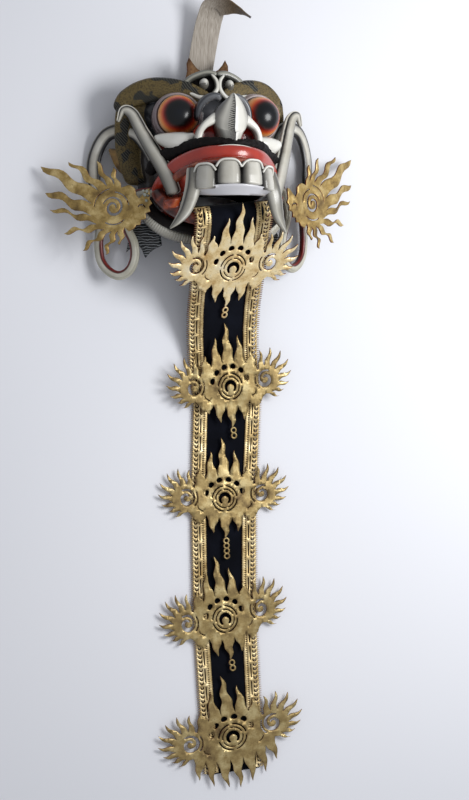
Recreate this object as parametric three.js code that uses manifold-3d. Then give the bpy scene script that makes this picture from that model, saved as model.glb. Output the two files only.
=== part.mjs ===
// A barong dance mask lying on its back: a carved and painted wooden demon face with
// boar tusks, long pierced ears and gilded hide flames, and a long black tongue that
// runs out of the mouth, down to the floor and along it.
// Millimetres, +Z up (the way the face looks), +Y from the tongue's end to the crown.
import * as THREE from "three";
import { mergeVertices } from "three/addons/utils/BufferGeometryUtils.js";
import Module from "manifold-3d";

const wasm = await Module();
wasm.setup();

// ---- driving dimensions -------------------------------------------------------
const GAP = 0.35; // clearance between touching pieces
const HEAD = { x: 92, y: 98, z: 60, lift: 22 }; // half sizes of the skull, and its centre's height
const HOLLOW = { x: 77, y: 83, z: 60, drop: -4 }; // half sizes of the hollow behind the face
const EYE = { x: 54, y: 54, z: 74, splay: 11 }; // eyeball's centre and outward turn
const TEETH = { count: 4, arch: 46, step: 32.6, z: 119, wide: 15, deep: 10, top: -12, bottom: -45 };
const HIDE = 2.2; // thickness of the gilded hide
const CLOTH = 1.6; // thickness of the tongue's cloth
// The tongue's stretches from its root: length, fall and swing aside, in degrees.
const TONGUE = {
  root: [7, -60, 46],
  folds: [
    [62, -90, 7], [7, -50, 7], [7, -10, 7], [7, 20, 7], [131.5, 38, 7],
    [34, 28, 7], [34, 18, 7], [34, 8, 7],
    [20, 0, 7], [126, 0, -2], [158, 0, 0.5], [152, 0, 3.5], [50, 0, 4],
  ],
  topHalf: 50, endHalf: 41, border: 20, hem: 5,
  saw: { start: 66, tooth: 36, notch: 1.5 },
};
// Each sun: how far along the tongue, how far aside, width and length against the plan,
// turn in degrees, the links below it, and how it stands off the cloth: rise and tilt.
const SUNS = [
  { along: 152, aside: 4, wide: 0.95, long: 1.12, turn: -3, links: 2, rise: 0, tilt: 0 },
  { along: 324, aside: 2, wide: 0.94, long: 1, turn: 0, links: 2, rise: 8.4, tilt: 6.8 },
  { along: 469, aside: 0, wide: 0.98, long: 0.95, turn: 2, links: 4, rise: 0, tilt: 0 },
  { along: 625, aside: -1, wide: 0.97, long: 1, turn: 6, links: 2, rise: 0, tilt: 0 },
  { along: 778, aside: 0, wide: 1.1, long: 0.98, turn: 7, links: 0, rise: 0, tilt: 0 },
];
// The flaming wings at the mouth's corners: the middle of the curl, turn in the plane, and
// how far the plane leans back, degrees.
const WINGS = {
  left: { x: -137, y: -52, z: 58, turn: 0, lean: 30 },
  right: { x: 136, y: -42, z: 58, turn: 8, lean: 30 },
};
const WING_TIPS = [
  [4, 56], [27, 58], [56, 60], [94, 54], [88, 18], [80, -10], [63, -36], [38, -58], [14, -60],
];

const rad = THREE.MathUtils.degToRad;
const paint = (color, roughness = 0.45, metalness = 0) =>
  new THREE.MeshStandardMaterial({ color, roughness, metalness });
const MATERIALS = {
  wood: paint(0xb03428, 0.35),
  ivory: paint(0xb9b8ae, 0.4),
  ear: paint(0xb4b2a8, 0.45),
  gilt: paint(0xb8975a, 0.42, 0.75),
  black: paint(0x14171d, 0.6),
  rawhide: paint(0x9d9588, 0.75),
  velvet: paint(0x0b0f1a, 0.95),
};

// ---- solids -------------------------------------------------------------------
// A closed geometry as a solid, its faces turned outwards.
function solid(geometry) {
  const bare = geometry.index ? geometry.toNonIndexed() : geometry.clone();
  for (const name of Object.keys(bare.attributes))
    if (name !== "position") bare.deleteAttribute(name);
  const merged = mergeVertices(bare, 1e-3);
  const at = merged.attributes.position;
  const corner = (i) => new THREE.Vector3().fromBufferAttribute(at, i);
  const triVerts = new Uint32Array(merged.index.array);
  let sixVolumes = 0;
  for (let i = 0; i < triVerts.length; i += 3)
    sixVolumes += corner(triVerts[i]).dot(corner(triVerts[i + 1]).cross(corner(triVerts[i + 2])));
  if (sixVolumes < 0) triVerts.reverse();
  return new wasm.Manifold(new wasm.Mesh({ numProp: 3, vertProperties: at.array, triVerts }));
}

// A solid back as a named mesh.
function piece(name, made, material) {
  const raw = made.getMesh();
  const geometry = new THREE.BufferGeometry();
  geometry.setAttribute("position", new THREE.BufferAttribute(raw.vertProperties, 3));
  geometry.setIndex(new THREE.BufferAttribute(raw.triVerts, 1));
  geometry.computeVertexNormals();
  const mesh = new THREE.Mesh(geometry, material);
  mesh.name = name;
  return mesh;
}

const join = (solids) => solids.reduce((all, one) => all.add(one));
const mirrored = (one) => one.mirror([1, 0, 0]);
const bothSides = (one) => one.add(mirrored(one));
const largest = (one) => one.decompose().sort((a, b) => b.volume() - a.volume())[0];

// Cuts a piece back from another, leaving the gap between them.
function clearOf(one, other) {
  const shifts = [[GAP, 0, 0], [-GAP, 0, 0], [0, GAP, 0], [0, -GAP, 0], [0, 0, GAP], [0, 0, -GAP]];
  return largest(shifts.reduce((left, shift) => left.subtract(other.translate(shift)), one));
}

function ball(x, y, z, rx, ry = rx, rz = rx, around = 16, up = 10) {
  const sphere = new THREE.SphereGeometry(1, around, up).rotateX(Math.PI / 2);
  return solid(sphere.scale(rx, ry, rz).translate(x, y, z));
}

// A skin through rings of points, closed at both ends.
function loft(rings) {
  const sides = rings[0].length;
  const points = rings.flat();
  const faces = [];
  for (let r = 0; r + 1 < rings.length; r++)
    for (let s = 0; s < sides; s++) {
      const a = r * sides + s;
      const b = r * sides + ((s + 1) % sides);
      faces.push(a, b, b + sides, a, b + sides, a + sides);
    }
  const last = points.length - sides;
  for (let s = 1; s + 1 < sides; s++) {
    faces.push(0, s + 1, s);
    faces.push(last, last + s, last + s + 1);
  }
  const geometry = new THREE.BufferGeometry().setFromPoints(points);
  geometry.setIndex(faces);
  return solid(geometry);
}

// An oval section swept along a smooth path. Stations are [x, y, z, width, depth];
// depth is measured towards facing, and width across it.
function horn(stations, { steps = 10, sides = 8, grow = 0, facing = new THREE.Vector3(0, 0, 1) } = {}) {
  const path = new THREE.CatmullRomCurve3(stations.map(([x, y, z]) => new THREE.Vector3(x, y, z)));
  const size = new THREE.CatmullRomCurve3(stations.map(([, , , w, d]) => new THREE.Vector3(w, d, 0)));
  const rings = [];
  for (let i = 0; i <= steps; i++) {
    const t = i / steps;
    const centre = path.getPoint(t);
    const along = path.getTangent(t);
    const out = facing.clone().addScaledVector(along, -facing.dot(along)).normalize();
    const across = new THREE.Vector3().crossVectors(along, out);
    const { x: width, y: depth } = size.getPoint(t);
    rings.push(
      Array.from({ length: sides }, (_, s) => {
        const turn = (2 * Math.PI * s) / sides;
        return centre
          .clone()
          .addScaledVector(across, Math.cos(turn) * (width / 2 + grow))
          .addScaledVector(out, Math.sin(turn) * (depth / 2 + grow));
      }),
    );
  }
  return loft(rings);
}

// ---- the carved face ----------------------------------------------------------
// Stations of [x, y, z, width, depth], from the middle of the face outwards.
const BROW = [
  [8, 80, 72, 16, 16], [40, 92, 66, 24, 14], [78, 93, 54, 30, 14], [106, 82, 42, 26, 12], [119, 68, 34, 12, 8],
];
const RIGHT_BROW = 0.8; // how much narrower the brow is carved on the right
const FLANGE = [[102, 70, 38, 30, 10], [106, 38, 30, 28, 10], [103, 4, 30, 26, 10], [96, -28, 36, 18, 10]];
const BRIDGE = [
  [0, 68, 142, 4, 5], [0, 58, 134, 18, 26], [0, 42, 122, 32, 52], [0, 25, 120, 42, 64], [0, 10, 122, 44, 58],
];
const FOLD = [[12, 56, 112, 7, 14], [24, 60, 98, 8, 16], [34, 48, 92, 8, 16], [36, 34, 100, 8, 14]];
const WHISKERS = [[-84, -16, 70, 14, 12], [-64, 0, 92, 18, 14], [-38, 7, 126, 13, 12], [0, 9, 144, 9, 12]];
const UPPER_LIP = [[-78, -40, 72, 12, 10], [-61, -18, 96, 22, 14], [-36, -6, 132, 22, 14], [0, -4, 147, 20, 14]];
const LOWER_LIP = [[-80, -44, 78, 14, 14], [-66, -62, 90, 18, 16], [-36, -76, 97, 18, 16], [0, -80, 99, 18, 16]];
const JAW = [[-90, -60, 52, 14, 12], [-76, -84, 62, 16, 14], [-44, -98, 66, 14, 12], [0, -104, 68, 12, 12]];
const TUSK = [
  [66, -50, 98, 18, 16], [75, -22, 92, 20, 17], [87, 8, 76, 19, 15], [98, 36, 60, 17, 14],
  [107, 59, 50, 15, 11], [117, 65, 45, 11, 8], [123, 52, 42, 5, 4],
];
const FANG = [[46, -24, 134, 19, 12], [51, -48, 141, 18, 12], [58, -72, 136, 13, 10], [74, -94, 122, 3, 3]];

// The left half of a path, run on to the right half.
const across = (half) => {
  const other = half.slice(0, -1).reverse();
  return [...half, ...other.map(([x, ...rest]) => [-x, ...rest])];
};

// Profiles turned about the way out of the face: socket, lid ring and bulging ball.
const EYE_PROFILE = [[0, -26], [31, -26], [33, -7], [28, 5], [25, 7], [23, 11], [16, 21], [8, 26], [0, 27]];
const SCROLL_PROFILE = [[0, -22], [15, -22], [16.5, 6], [12, 9], [8, 5], [6.5, 10], [0, 13]];
const NOSTRIL_PROFILE = [[0, -24], [18, -24], [21, 2], [17, 14], [12.5, 12], [10, 0], [0, -3]];

function turned(profile, around) {
  const lathe = new THREE.LatheGeometry(profile.map(([r, h]) => new THREE.Vector2(r, h)), around);
  return lathe.rotateX(Math.PI / 2);
}

function eyes() {
  const eye = turned(EYE_PROFILE, 11).rotateY(rad(EYE.splay)).translate(EYE.x, EYE.y, EYE.z);
  return bothSides(solid(eye));
}

function nose() {
  const nostril = solid(turned(NOSTRIL_PROFILE, 10).rotateY(rad(10)).translate(26, 24, 117));
  const bridge = horn(BRIDGE, { steps: 7, sides: 6 });
  const fold = horn(FOLD, { steps: 4, sides: 4 });
  return bridge.add(bothSides(nostril.add(fold)));
}

function teeth() {
  const tall = TEETH.top - TEETH.bottom;
  const one = (i) => {
    const turn = rad(TEETH.step * (i - (TEETH.count - 1) / 2));
    const column = new THREE.CylinderGeometry(0.82, 1, tall, 6);
    return solid(
      column
        .scale(TEETH.wide, 1, TEETH.deep)
        .translate(0, TEETH.bottom + tall / 2, TEETH.arch)
        .rotateY(turn)
        .translate(0, 0, TEETH.z),
    );
  };
  const gums = ball(0, -12, TEETH.z, 51, 12, 50, 10, 4);
  const plate = new THREE.CylinderGeometry(51, 42, 9, 10).translate(0, TEETH.bottom - 2.6, TEETH.z);
  return join([gums, solid(plate), ...Array.from({ length: TEETH.count }, (_, i) => one(i))]);
}

function crownScrolls() {
  const shield = ball(0, 92, 58, 34, 20, 24, 10, 6);
  const scroll = solid(turned(SCROLL_PROFILE, 9).translate(17, 95, 72));
  return shield.add(bothSides(scroll));
}

// The brow and the flange under it, carved narrower on one side of the face.
function brow(narrowing) {
  const narrowed = (path) => path.map(([x, ...rest]) => [x * narrowing, ...rest]);
  return horn(narrowed(BROW), { steps: 6, sides: 6 }).add(horn(narrowed(FLANGE), { steps: 4, sides: 6 }));
}

function maskBody() {
  const skull = ball(0, 0, HEAD.lift, HEAD.x, HEAD.y, HEAD.z, 16, 8);
  const forehead = ball(0, 60, 38, 88, 42, 38, 12, 6);
  const snout = ball(0, -24, 78, 61, 48, 70, 12, 6);
  const chin = ball(0, -70, 48, 72, 32, 44, 10, 6);
  const cheek = ball(60, 14, 84, 25, 10, 16, 7, 4);
  const roll = { steps: 8, sides: 5 };
  const rolls = [WHISKERS, UPPER_LIP, LOWER_LIP, JAW].map((half) => horn(across(half), roll));
  const brows = mirrored(brow(1)).add(brow(RIGHT_BROW));
  const features = [...rolls, bothSides(cheek), eyes(), nose(), teeth(), crownScrolls(), brows];
  const carved = join([skull, forehead, snout, chin, ...features]);
  const hollow = ball(0, HOLLOW.drop, 0, HOLLOW.x, HOLLOW.y, HOLLOW.z, 16, 8);
  const mouth = ball(4, -60, 80, 62, 17, 84, 10, 8);
  return carved.subtract(hollow).subtract(mouth).trimByPlane([0, 0, 1], 0);
}

// ---- ears ---------------------------------------------------------------------
// The band of one ear in its own plane: outwards from the head, and up.
const EAR = [
  [-16, -6], [2, 24], [28, 34], [54, 24], [66, -4], [64, -40], [55, -78],
  [58, -108], [47, -140], [27, -148], [12, -134], [12, -106], [24, -76], [8, -46], [-16, -44],
];
const EARS = {
  // root, and how far the ear leans back, degrees
  left: { x: 88, y: 9, z: 46, lean: 34 },
  right: { x: 90, y: 20, z: 46, lean: 34 },
};

function ear(side) {
  const { x, y, z, lean } = EARS[side];
  const [c, s] = [Math.cos(rad(lean)), Math.sin(rad(lean))];
  const stations = EAR.map(([u, v]) => [x + u * c, y + v, z - u * s, 11, 9]);
  return horn(stations, { steps: 22, sides: 5, facing: new THREE.Vector3(s, 0, c) });
}

// ---- flames cut from hide -----------------------------------------------------
const point = (x, y) => new THREE.Vector2(x, y);
const around = (centre, turn, r) => point(r, 0).rotateAround(point(0, 0), rad(turn)).add(centre);

const WAVE = 2 * Math.PI;

// One wavy side of a flame, from where the outline stands.
function flank(outline, to, wave, steps) {
  const from = outline.at(-1).clone();
  const run = to.clone().sub(from);
  const aside = point(-run.y, run.x).multiplyScalar(wave);
  for (let i = 1; i <= steps; i++)
    outline.push(from.clone().lerp(to, i / steps).addScaledVector(aside, Math.sin((WAVE * i) / steps)));
}

// Flames by their tips and feet, run on from where the outline stands.
function flames(outline, marks, wave = 0.05, steps = 1) {
  for (const [tip, foot] of marks) {
    flank(outline, point(...tip), wave, steps);
    if (foot) flank(outline, point(...foot), wave, steps);
  }
}

// Flames round a centre by their tips, their feet on a circle between them.
function crownOf(outline, centre, tips, body) {
  const angle = ([x, y]) => (Math.atan2(y - centre.y, x - centre.x) * 180) / Math.PI;
  tips.forEach((tip, i) => {
    flank(outline, point(...tip), 0.08, 2);
    const next = angle(tips[i + 1] ?? tip);
    const foot = tips[i + 1] ? (angle(tip) + next) / 2 : next - 22;
    flank(outline, around(centre, foot, body), 0.08, 2);
  });
}

// A fan of flames round a centre, clockwise from one angle to another.
function fan(outline, { centre, from, to, count, body, reach, lean = 0, steps = 3 }) {
  const step = (to - from) / count;
  for (let i = 0; i < count; i++) {
    const share = (i + 0.5) / count;
    flank(outline, around(centre, from + step * (i + 0.5) + lean, reach(share)), 0.09, steps);
    flank(outline, around(centre, from + step * (i + 1), body), 0.09, steps);
  }
}

// A curling slot, as a hole in a plate.
function curl(x, y, size, turns, width, side = 1) {
  const steps = 5;
  const edge = (i, out) => {
    const t = i / steps;
    const r = size * (0.3 + 0.7 * t) + out * width * (0.3 + 0.7 * Math.sin(Math.PI * t));
    const turn = rad(60) - t * turns * 2 * Math.PI;
    return point(x + side * r * Math.cos(turn), y + r * Math.sin(turn));
  };
  const places = Array.from({ length: steps + 1 }, (_, i) => i);
  return [...places.map((i) => edge(i, 0.5)), ...places.reverse().map((i) => edge(i, -0.5))];
}

function circle(x, y, r, sides) {
  return Array.from({ length: sides }, (_, i) => around(point(x, y), (360 * i) / sides, r));
}

function plate(outline, holes = [], thick = HIDE) {
  const slab = (edge, depth) =>
    solid(new THREE.ExtrudeGeometry(new THREE.Shape(edge), { depth, bevelEnabled: false, steps: 1 }));
  return holes.reduce(
    (left, hole) => left.subtract(slab(hole, thick + 2).translate([0, 0, -1])),
    slab(outline, thick),
  );
}

// The outline of a sun with a flaming wing on either side, up being towards the mouth.
function sunOutline(isLast) {
  const half = [point(0, 84)];
  flank(half, point(9, 31), 0.06, 3);
  flames(half, [[[17, 66], [25, 28]]], 0.05, 2);
  flames(half, [[[34, 44], [41, 18]]]);
  const reach = (share) => 29 + 13 * Math.sin(Math.PI * Math.min(1, share + 0.2));
  fan(half, { centre: point(53, 4), from: 122, to: -96, count: 7, body: 18, reach, lean: 5, steps: 1 });
  const longFlames = [[[50, -44], [38, -22]], [[34, -57], [25, -26]], [[16, -64], [8, -28]], [[0, -68]]];
  const shortFlames = [[[34, -32], [26, -20]], [[18, -45], [9, -24]], [[0, -54]]];
  flames(half, isLast ? longFlames : shortFlames);
  const left = half.slice(1, -1).reverse().map((p) => point(-p.x, p.y));
  return [...half, ...left];
}

function sun({ wide, long, turn, links }, isLast) {
  const holes = [circle(0, 1, 8, 8), curl(51, 5, 10, 0.8, 5), curl(-51, 5, 10, 0.8, 5, -1)];
  const link = (_, i) => plate(circle(0, -56.5 - i * 7, 4.4, 6), [circle(0, -56.5 - i * 7, 2.1, 4)]);
  const flat = join([plate(sunOutline(isLast), holes), ...Array.from({ length: links }, link)]);
  return flat.scale([wide, long, 1]).rotate([0, 0, turn]);
}

// A flaming wing for the side of the face, its stem reaching inwards to the mouth.
function faceWing(side) {
  const { x, y, z, turn, lean } = WINGS[side];
  const outline = [point(-50, 14), point(-34, 12), point(-18, 22)];
  crownOf(outline, point(0, 0), WING_TIPS, 28);
  outline.push(point(-30, -8), point(-54, -2));
  const flat = plate(outline, [curl(-2, 0, 15, 0.85, 6)]).rotate([0, 0, turn]).rotate([0, lean, 0]);
  const placed = flat.translate([Math.abs(x), y, z]);
  return side === "right" ? placed : mirrored(placed);
}

// ---- the tongue ---------------------------------------------------------------
// The corners of the tongue's line: place, distance along, and the directions across and up.
function tongueCorners() {
  const heading = ([, fall, swing]) => {
    const [f, w] = [rad(fall), rad(swing)];
    return new THREE.Vector3(Math.sin(w) * Math.cos(f), -Math.cos(w) * Math.cos(f), -Math.sin(f));
  };
  const { folds } = TONGUE;
  const at = new THREE.Vector3(...TONGUE.root);
  let along = 0;
  return Array.from({ length: folds.length + 1 }, (_, i) => {
    if (i > 0) {
      at.addScaledVector(heading(folds[i - 1]), folds[i - 1][0]);
      along += folds[i - 1][0];
    }
    const sides = [folds[Math.max(0, i - 1)], folds[Math.min(i, folds.length - 1)]];
    const swing = rad((sides[0][2] + sides[1][2]) / 2);
    const wide = new THREE.Vector3(Math.cos(swing), Math.sin(swing), 0);
    const ups = sides.map((fold) => new THREE.Vector3().crossVectors(heading(fold), wide).normalize());
    const up = ups[0].clone().add(ups[1]).divideScalar(1 + ups[0].dot(ups[1]));
    return { place: at.clone(), along, wide, up };
  });
}
const CORNERS = tongueCorners();
const LENGTH = CORNERS.at(-1).along;

// A place on the tongue: x across, along from the root, z above the underside.
function onTongue(x, along, z) {
  const next = Math.max(1, CORNERS.findIndex((corner) => corner.along >= along));
  const [a, b] = [CORNERS[next - 1], CORNERS[next]];
  const t = (along - a.along) / (b.along - a.along);
  return a.place
    .clone()
    .lerp(b.place, t)
    .addScaledVector(a.wide.clone().lerp(b.wide, t), x)
    .addScaledVector(a.up.clone().lerp(b.up, t), z);
}

// A strip along the tongue, through stations of [along, one edge, other edge].
function strip(stations, low, high) {
  return loft(
    stations.map(([along, one, other]) => [
      onTongue(one, along, low),
      onTongue(other, along, low),
      onTongue(other, along, high),
      onTongue(one, along, high),
    ]),
  );
}

const halfAt = (along) => THREE.MathUtils.lerp(TONGUE.topHalf, TONGUE.endHalf, along / LENGTH);

function cloth() {
  const edge = (along) => halfAt(along) - TONGUE.hem;
  return strip(CORNERS.map(({ along }) => [along, -edge(along), edge(along)]), 0, CLOTH);
}

// The gilded border along one edge, saw-toothed outside.
function border(side) {
  const { start, tooth, notch } = TONGUE.saw;
  const end = LENGTH - 2;
  const count = Math.round((end - start) / tooth);
  const step = (end - start) / count;
  const teeth = Array.from({ length: count }, (_, i) => [start + step * i, start + step * (i + 0.7)]).flat();
  const clear = (along) => along > start && along < end && teeth.every((at) => Math.abs(at - along) > 2);
  const bends = CORNERS.map((corner) => corner.along).filter(clear);
  const places = [...teeth, ...bends, end].sort((a, b) => a - b);
  const outer = (along) => {
    const share = ((along - start) / step) % 1;
    return halfAt(along) + notch * (share < 0.7 ? share / 0.35 - 1 : (1 - share) / 0.15 - 1);
  };
  const inner = (along) => halfAt(along) - TONGUE.border;
  const stations = places.map((along) => [along, side * inner(along), side * outer(along)]);
  return strip(stations, CLOTH + GAP, CLOTH + GAP + HIDE);
}

// Each sun is stiff: it lies flat on the stretch of the tongue under its middle.
function suns() {
  return SUNS.map(({ along, aside, rise, tilt, ...plan }, i) => {
    const next = CORNERS.findIndex((corner) => corner.along > along);
    const [a, b] = [CORNERS[next - 1], CORNERS[next]];
    const place = a.place.clone().lerp(b.place, (along - a.along) / (b.along - a.along));
    const back = a.place.clone().sub(b.place).normalize();
    const wide = new THREE.Vector3(-back.y, back.x, 0).normalize().negate();
    const frame = new THREE.Matrix4().makeBasis(wide, back, new THREE.Vector3().crossVectors(wide, back));
    return sun(plan, i === SUNS.length - 1)
      .rotate([tilt, 0, 0])
      .translate([aside, 0, CLOTH + HIDE + 2 * GAP + rise])
      .transform(frame.setPosition(place).elements);
  });
}

// ---- strap, collar and beard --------------------------------------------------
// A strap that stands up from the crown, its pointed end folded over to the front.
const STRAP = [
  [-6, 84, 12, 34], [-3, 128, 14, 34], [3, 168, 18, 34], [7, 190, 24, 33],
  [10, 200, 34, 31], [24, 198, 46, 26], [38, 191, 54, 16], [50, 184, 59, 3],
];
const STRAP_THICK = 2.4;

function strap() {
  const rings = STRAP.map(([x, y, z, width], i) => {
    const before = STRAP[Math.max(0, i - 1)];
    const after = STRAP[Math.min(STRAP.length - 1, i + 1)];
    const along = new THREE.Vector3(...after).sub(new THREE.Vector3(...before)).normalize();
    const lean = i < 4 ? -0.05 : -0.6;
    const wide = new THREE.Vector3(1, lean, 0).addScaledVector(along, -along.x).normalize();
    const up = new THREE.Vector3().crossVectors(wide, along).multiplyScalar(STRAP_THICK / 2);
    const middle = new THREE.Vector3(x, y, z);
    const edge = (w, u) => middle.clone().addScaledVector(wide, (w * width) / 2).addScaledVector(up, u);
    return [edge(-1, -1), edge(1, -1), edge(1, 1), edge(-1, 1)];
  });
  return loft(rings);
}

function collar() {
  const half = [[0, 17], [14, 22], [25, 34], [27, 20], [30, 0]];
  const outline = [...half.map(([x, y]) => point(-x, y)), ...half.slice(1).reverse().map(([x, y]) => point(x, y))];
  return plate(outline).rotate([-12, 0, 0]).translate([0, 98, 38]);
}

function beardLeaf() {
  const outline = [[0, 10], [18, 6], [34, -12], [26, -14], [22, -30], [12, -18], [-6, -14]];
  return plate(outline.map(([x, y]) => point(x, y))).rotate([0, 18, 0]).translate([68, -88, 34]);
}

// ---- the whole ----------------------------------------------------------------
const mask = maskBody();
const made = [piece("mask", mask, MATERIALS.wood)];
const strapSolid = clearOf(strap(), mask);
made.push(piece("crest_strap", strapSolid, MATERIALS.rawhide));
made.push(piece("crown_collar", clearOf(clearOf(collar(), mask), strapSolid), MATERIALS.gilt));
for (const side of ["left", "right"]) {
  const sided = (one) => (side === "right" ? one : mirrored(one));
  const tusk = clearOf(sided(horn(TUSK, { steps: 8, sides: 6 })), mask);
  const fang = clearOf(sided(horn(FANG, { steps: 7, sides: 6 })), mask);
  const lobe = clearOf(clearOf(sided(ear(side)), mask), tusk);
  const leaf = clearOf(sided(beardLeaf()), mask);
  const wing = [mask, tusk, lobe, leaf].reduce(clearOf, faceWing(side));
  made.push(piece(`tusk_${side}`, tusk, MATERIALS.ivory));
  made.push(piece(`fang_${side}`, fang, MATERIALS.ivory));
  made.push(piece(`ear_${side}`, lobe, MATERIALS.ear));
  made.push(piece(`beard_leaf_${side}`, leaf, MATERIALS.black));
  made.push(piece(`flame_wing_${side}`, wing, MATERIALS.gilt));
}
made.push(piece("tongue_cloth", cloth(), MATERIALS.velvet));
made.push(piece("tongue_border_left", border(-1), MATERIALS.gilt));
made.push(piece("tongue_border_right", border(1), MATERIALS.gilt));
suns().forEach((one, i) => made.push(piece(`tongue_sun_${i + 1}`, one, MATERIALS.gilt)));

const whole = new THREE.Group();
whole.name = "barong_mask";
whole.add(...made);
const box = new THREE.Box3().setFromObject(whole, true);
const middle = box.getCenter(new THREE.Vector3());
for (const mesh of made) mesh.geometry.translate(-middle.x, -middle.y, -box.min.z);

export default whole;
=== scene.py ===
# A barong dance mask lying on its back: carved and painted wood, boar tusks, looped ears,
# gilded hide flames, and a long black tongue set with gilded suns.
import functools
import math

import bmesh
import bpy
from mathutils import Matrix, Vector, noise


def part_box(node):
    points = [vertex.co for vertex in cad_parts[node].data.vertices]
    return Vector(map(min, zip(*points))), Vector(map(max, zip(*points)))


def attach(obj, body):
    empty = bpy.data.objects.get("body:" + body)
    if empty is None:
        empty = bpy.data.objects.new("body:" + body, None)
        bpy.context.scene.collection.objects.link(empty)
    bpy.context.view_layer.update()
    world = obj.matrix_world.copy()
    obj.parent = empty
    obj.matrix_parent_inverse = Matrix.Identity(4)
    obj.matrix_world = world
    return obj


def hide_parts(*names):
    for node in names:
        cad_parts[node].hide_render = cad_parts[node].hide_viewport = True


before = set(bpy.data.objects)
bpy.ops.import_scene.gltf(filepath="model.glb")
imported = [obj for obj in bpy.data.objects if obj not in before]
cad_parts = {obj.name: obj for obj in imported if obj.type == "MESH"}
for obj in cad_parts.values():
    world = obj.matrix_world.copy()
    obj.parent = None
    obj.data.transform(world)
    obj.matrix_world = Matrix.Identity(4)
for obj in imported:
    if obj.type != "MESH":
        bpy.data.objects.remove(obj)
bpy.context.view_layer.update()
mm = 0.001

# The middle of the face on the floor, from the two beard leaves that stand either side of it.
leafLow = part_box("beard_leaf_left")[0]
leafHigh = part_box("beard_leaf_right")[1]
leavesToMiddle = 0.078
home = Vector(((leafLow[0] + leafHigh[0]) / 2, leafHigh[1] + leavesToMiddle, 0.0))
print("middle of the face", [round(c, 5) for c in home])


def radians(degrees):
    return degrees * math.pi / 180


def lerp(a, b, t):
    return a + (b - a) * t


def spline(stations, t):
    # a smooth run through the stations; every number of a station is carried along
    last = len(stations) - 1
    at = min(max(t, 0.0), 1.0) * last
    i = min(int(at), last - 1)
    f = at - i
    four = [stations[max(0, min(last, i + k))] for k in (-1, 0, 1, 2)]
    return [
        0.5 * (2 * q + (r - p) * f + (2 * p - 5 * q + 4 * r - s) * f * f + (3 * q - p - 3 * r + s) * f**3)
        for p, q, r, s in zip(*four)
    ]


def runAt(stations, u):
    # which way the stations run at u
    ahead = Vector(spline(stations, min(1, u + 0.01))[:3])
    behind = Vector(spline(stations, max(0, u - 0.01))[:3])
    return (ahead - behind).normalized()


def across(half):
    # the left half of a path run on to the right half
    return list(half) + [(-s[0],) + tuple(s[1:]) for s in reversed(half[:-1])]


def toMesh(bm, name, materials):
    # a smooth-shaded piece in the scene, wearing the materials
    mesh = bpy.data.meshes.new(name)
    for face in bm.faces:
        face.smooth = True
    bm.to_mesh(mesh)
    bm.free()
    for material in materials:
        mesh.materials.append(material)
    piece = bpy.data.objects.new(name, mesh)
    bpy.context.collection.objects.link(piece)
    return piece


def wrapGrid(place, along, around):
    # a grid wrapped into a closed skin: place gives a point in mm for the way along and the way
    # round, both 0 to 1, and the grid's own UV keeps those two numbers for the paint
    bm = bmesh.new()
    bm.loops.layers.uv.new("paint")
    bmesh.ops.create_grid(bm, x_segments=along, y_segments=around, size=0.5, calc_uvs=True)
    for vert in bm.verts:
        vert.co = home + Vector(place(vert.co.x + 0.5, vert.co.y + 0.5)) * mm
    bmesh.ops.remove_doubles(bm, verts=bm.verts, dist=1e-6)
    bmesh.ops.holes_fill(bm, edges=[e for e in bm.edges if e.is_boundary], sides=0)
    bmesh.ops.recalc_face_normals(bm, faces=bm.faces)
    return bm


def oval(u, t):
    turn = 2 * math.pi * t
    return math.cos(turn), math.sin(turn)


def boxy(power):
    # an oval squared up towards a rounded box
    def section(u, t):
        x, y = oval(u, t)
        return math.copysign(abs(x) ** (2 / power), x), math.copysign(abs(y) ** (2 / power), y)
    return section


def sweep(stations, along, around, section=oval, facing=(0, 0, 1), relief=None, blunt=0.0):
    # stations are x, y, z, width, depth: depth is measured towards facing, and width across it.
    # relief lifts the skin off its section, in mm; blunt rounds the two ends over that share.
    out = Vector(facing)

    def place(u, t):
        x, y, z, width, depth = spline(stations, u)
        run = runAt(stations, u)
        up = (out - run * out.dot(run)).normalized()
        side = run.cross(up)
        a, b = section(u, t)
        lift = relief(u, t) if relief else 0.0
        shrink = 1.0
        if blunt:
            end = min(u, 1 - u) / blunt
            shrink = math.sqrt(max(0.0, 1 - (1 - min(1, end)) ** 2))
        half = Vector((a * width / 2, b * depth / 2))
        if lift:
            half += half.normalized() * lift
        return Vector((x, y, z)) + (side * half.x + up * half.y) * shrink

    return wrapGrid(place, along, around)


def egg(centre, radii, along, around, tilt=None):
    # a closed oval ball; along runs from its back pole to its front pole
    middle = Vector(centre)

    def place(u, t):
        down = math.pi * (1 - u)
        turn = 2 * math.pi * t
        way = Vector((math.sin(down) * math.cos(turn), math.sin(down) * math.sin(turn), math.cos(down)))
        point = Vector((way.x * radii[0], way.y * radii[1], way.z * radii[2]))
        return middle + (tilt @ point if tilt else point)

    return wrapGrid(place, along, around)


def lathe(profile, centre, tilt, along, around):
    # a profile of radius and height turned about the way out of the face
    middle = Vector(centre)

    def place(u, t):
        r, h = spline(profile, u)
        turn = 2 * math.pi * t
        return middle + tilt @ Vector((max(0.0, r) * math.cos(turn), max(0.0, r) * math.sin(turn), h))

    return wrapGrid(place, along, around)


def applied(piece):
    # the piece with its modifiers worked into its mesh
    graph = bpy.context.evaluated_depsgraph_get()
    mesh = bpy.data.meshes.new_from_object(
        piece.evaluated_get(graph), preserve_all_data_layers=True, depsgraph=graph)
    piece.modifiers.clear()
    old = piece.data
    piece.data = mesh
    mesh.name = piece.name
    bpy.data.meshes.remove(old)


def cutOrJoin(piece, other, operation):
    # other is worked into the piece and used up; its surface keeps its own paint
    tool = piece.modifiers.new("carve", "BOOLEAN")
    tool.operation = operation
    tool.solver = "MANIFOLD"
    tool.material_mode = "TRANSFER"
    tool.object = other
    applied(piece)
    bpy.data.objects.remove(other)


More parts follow.
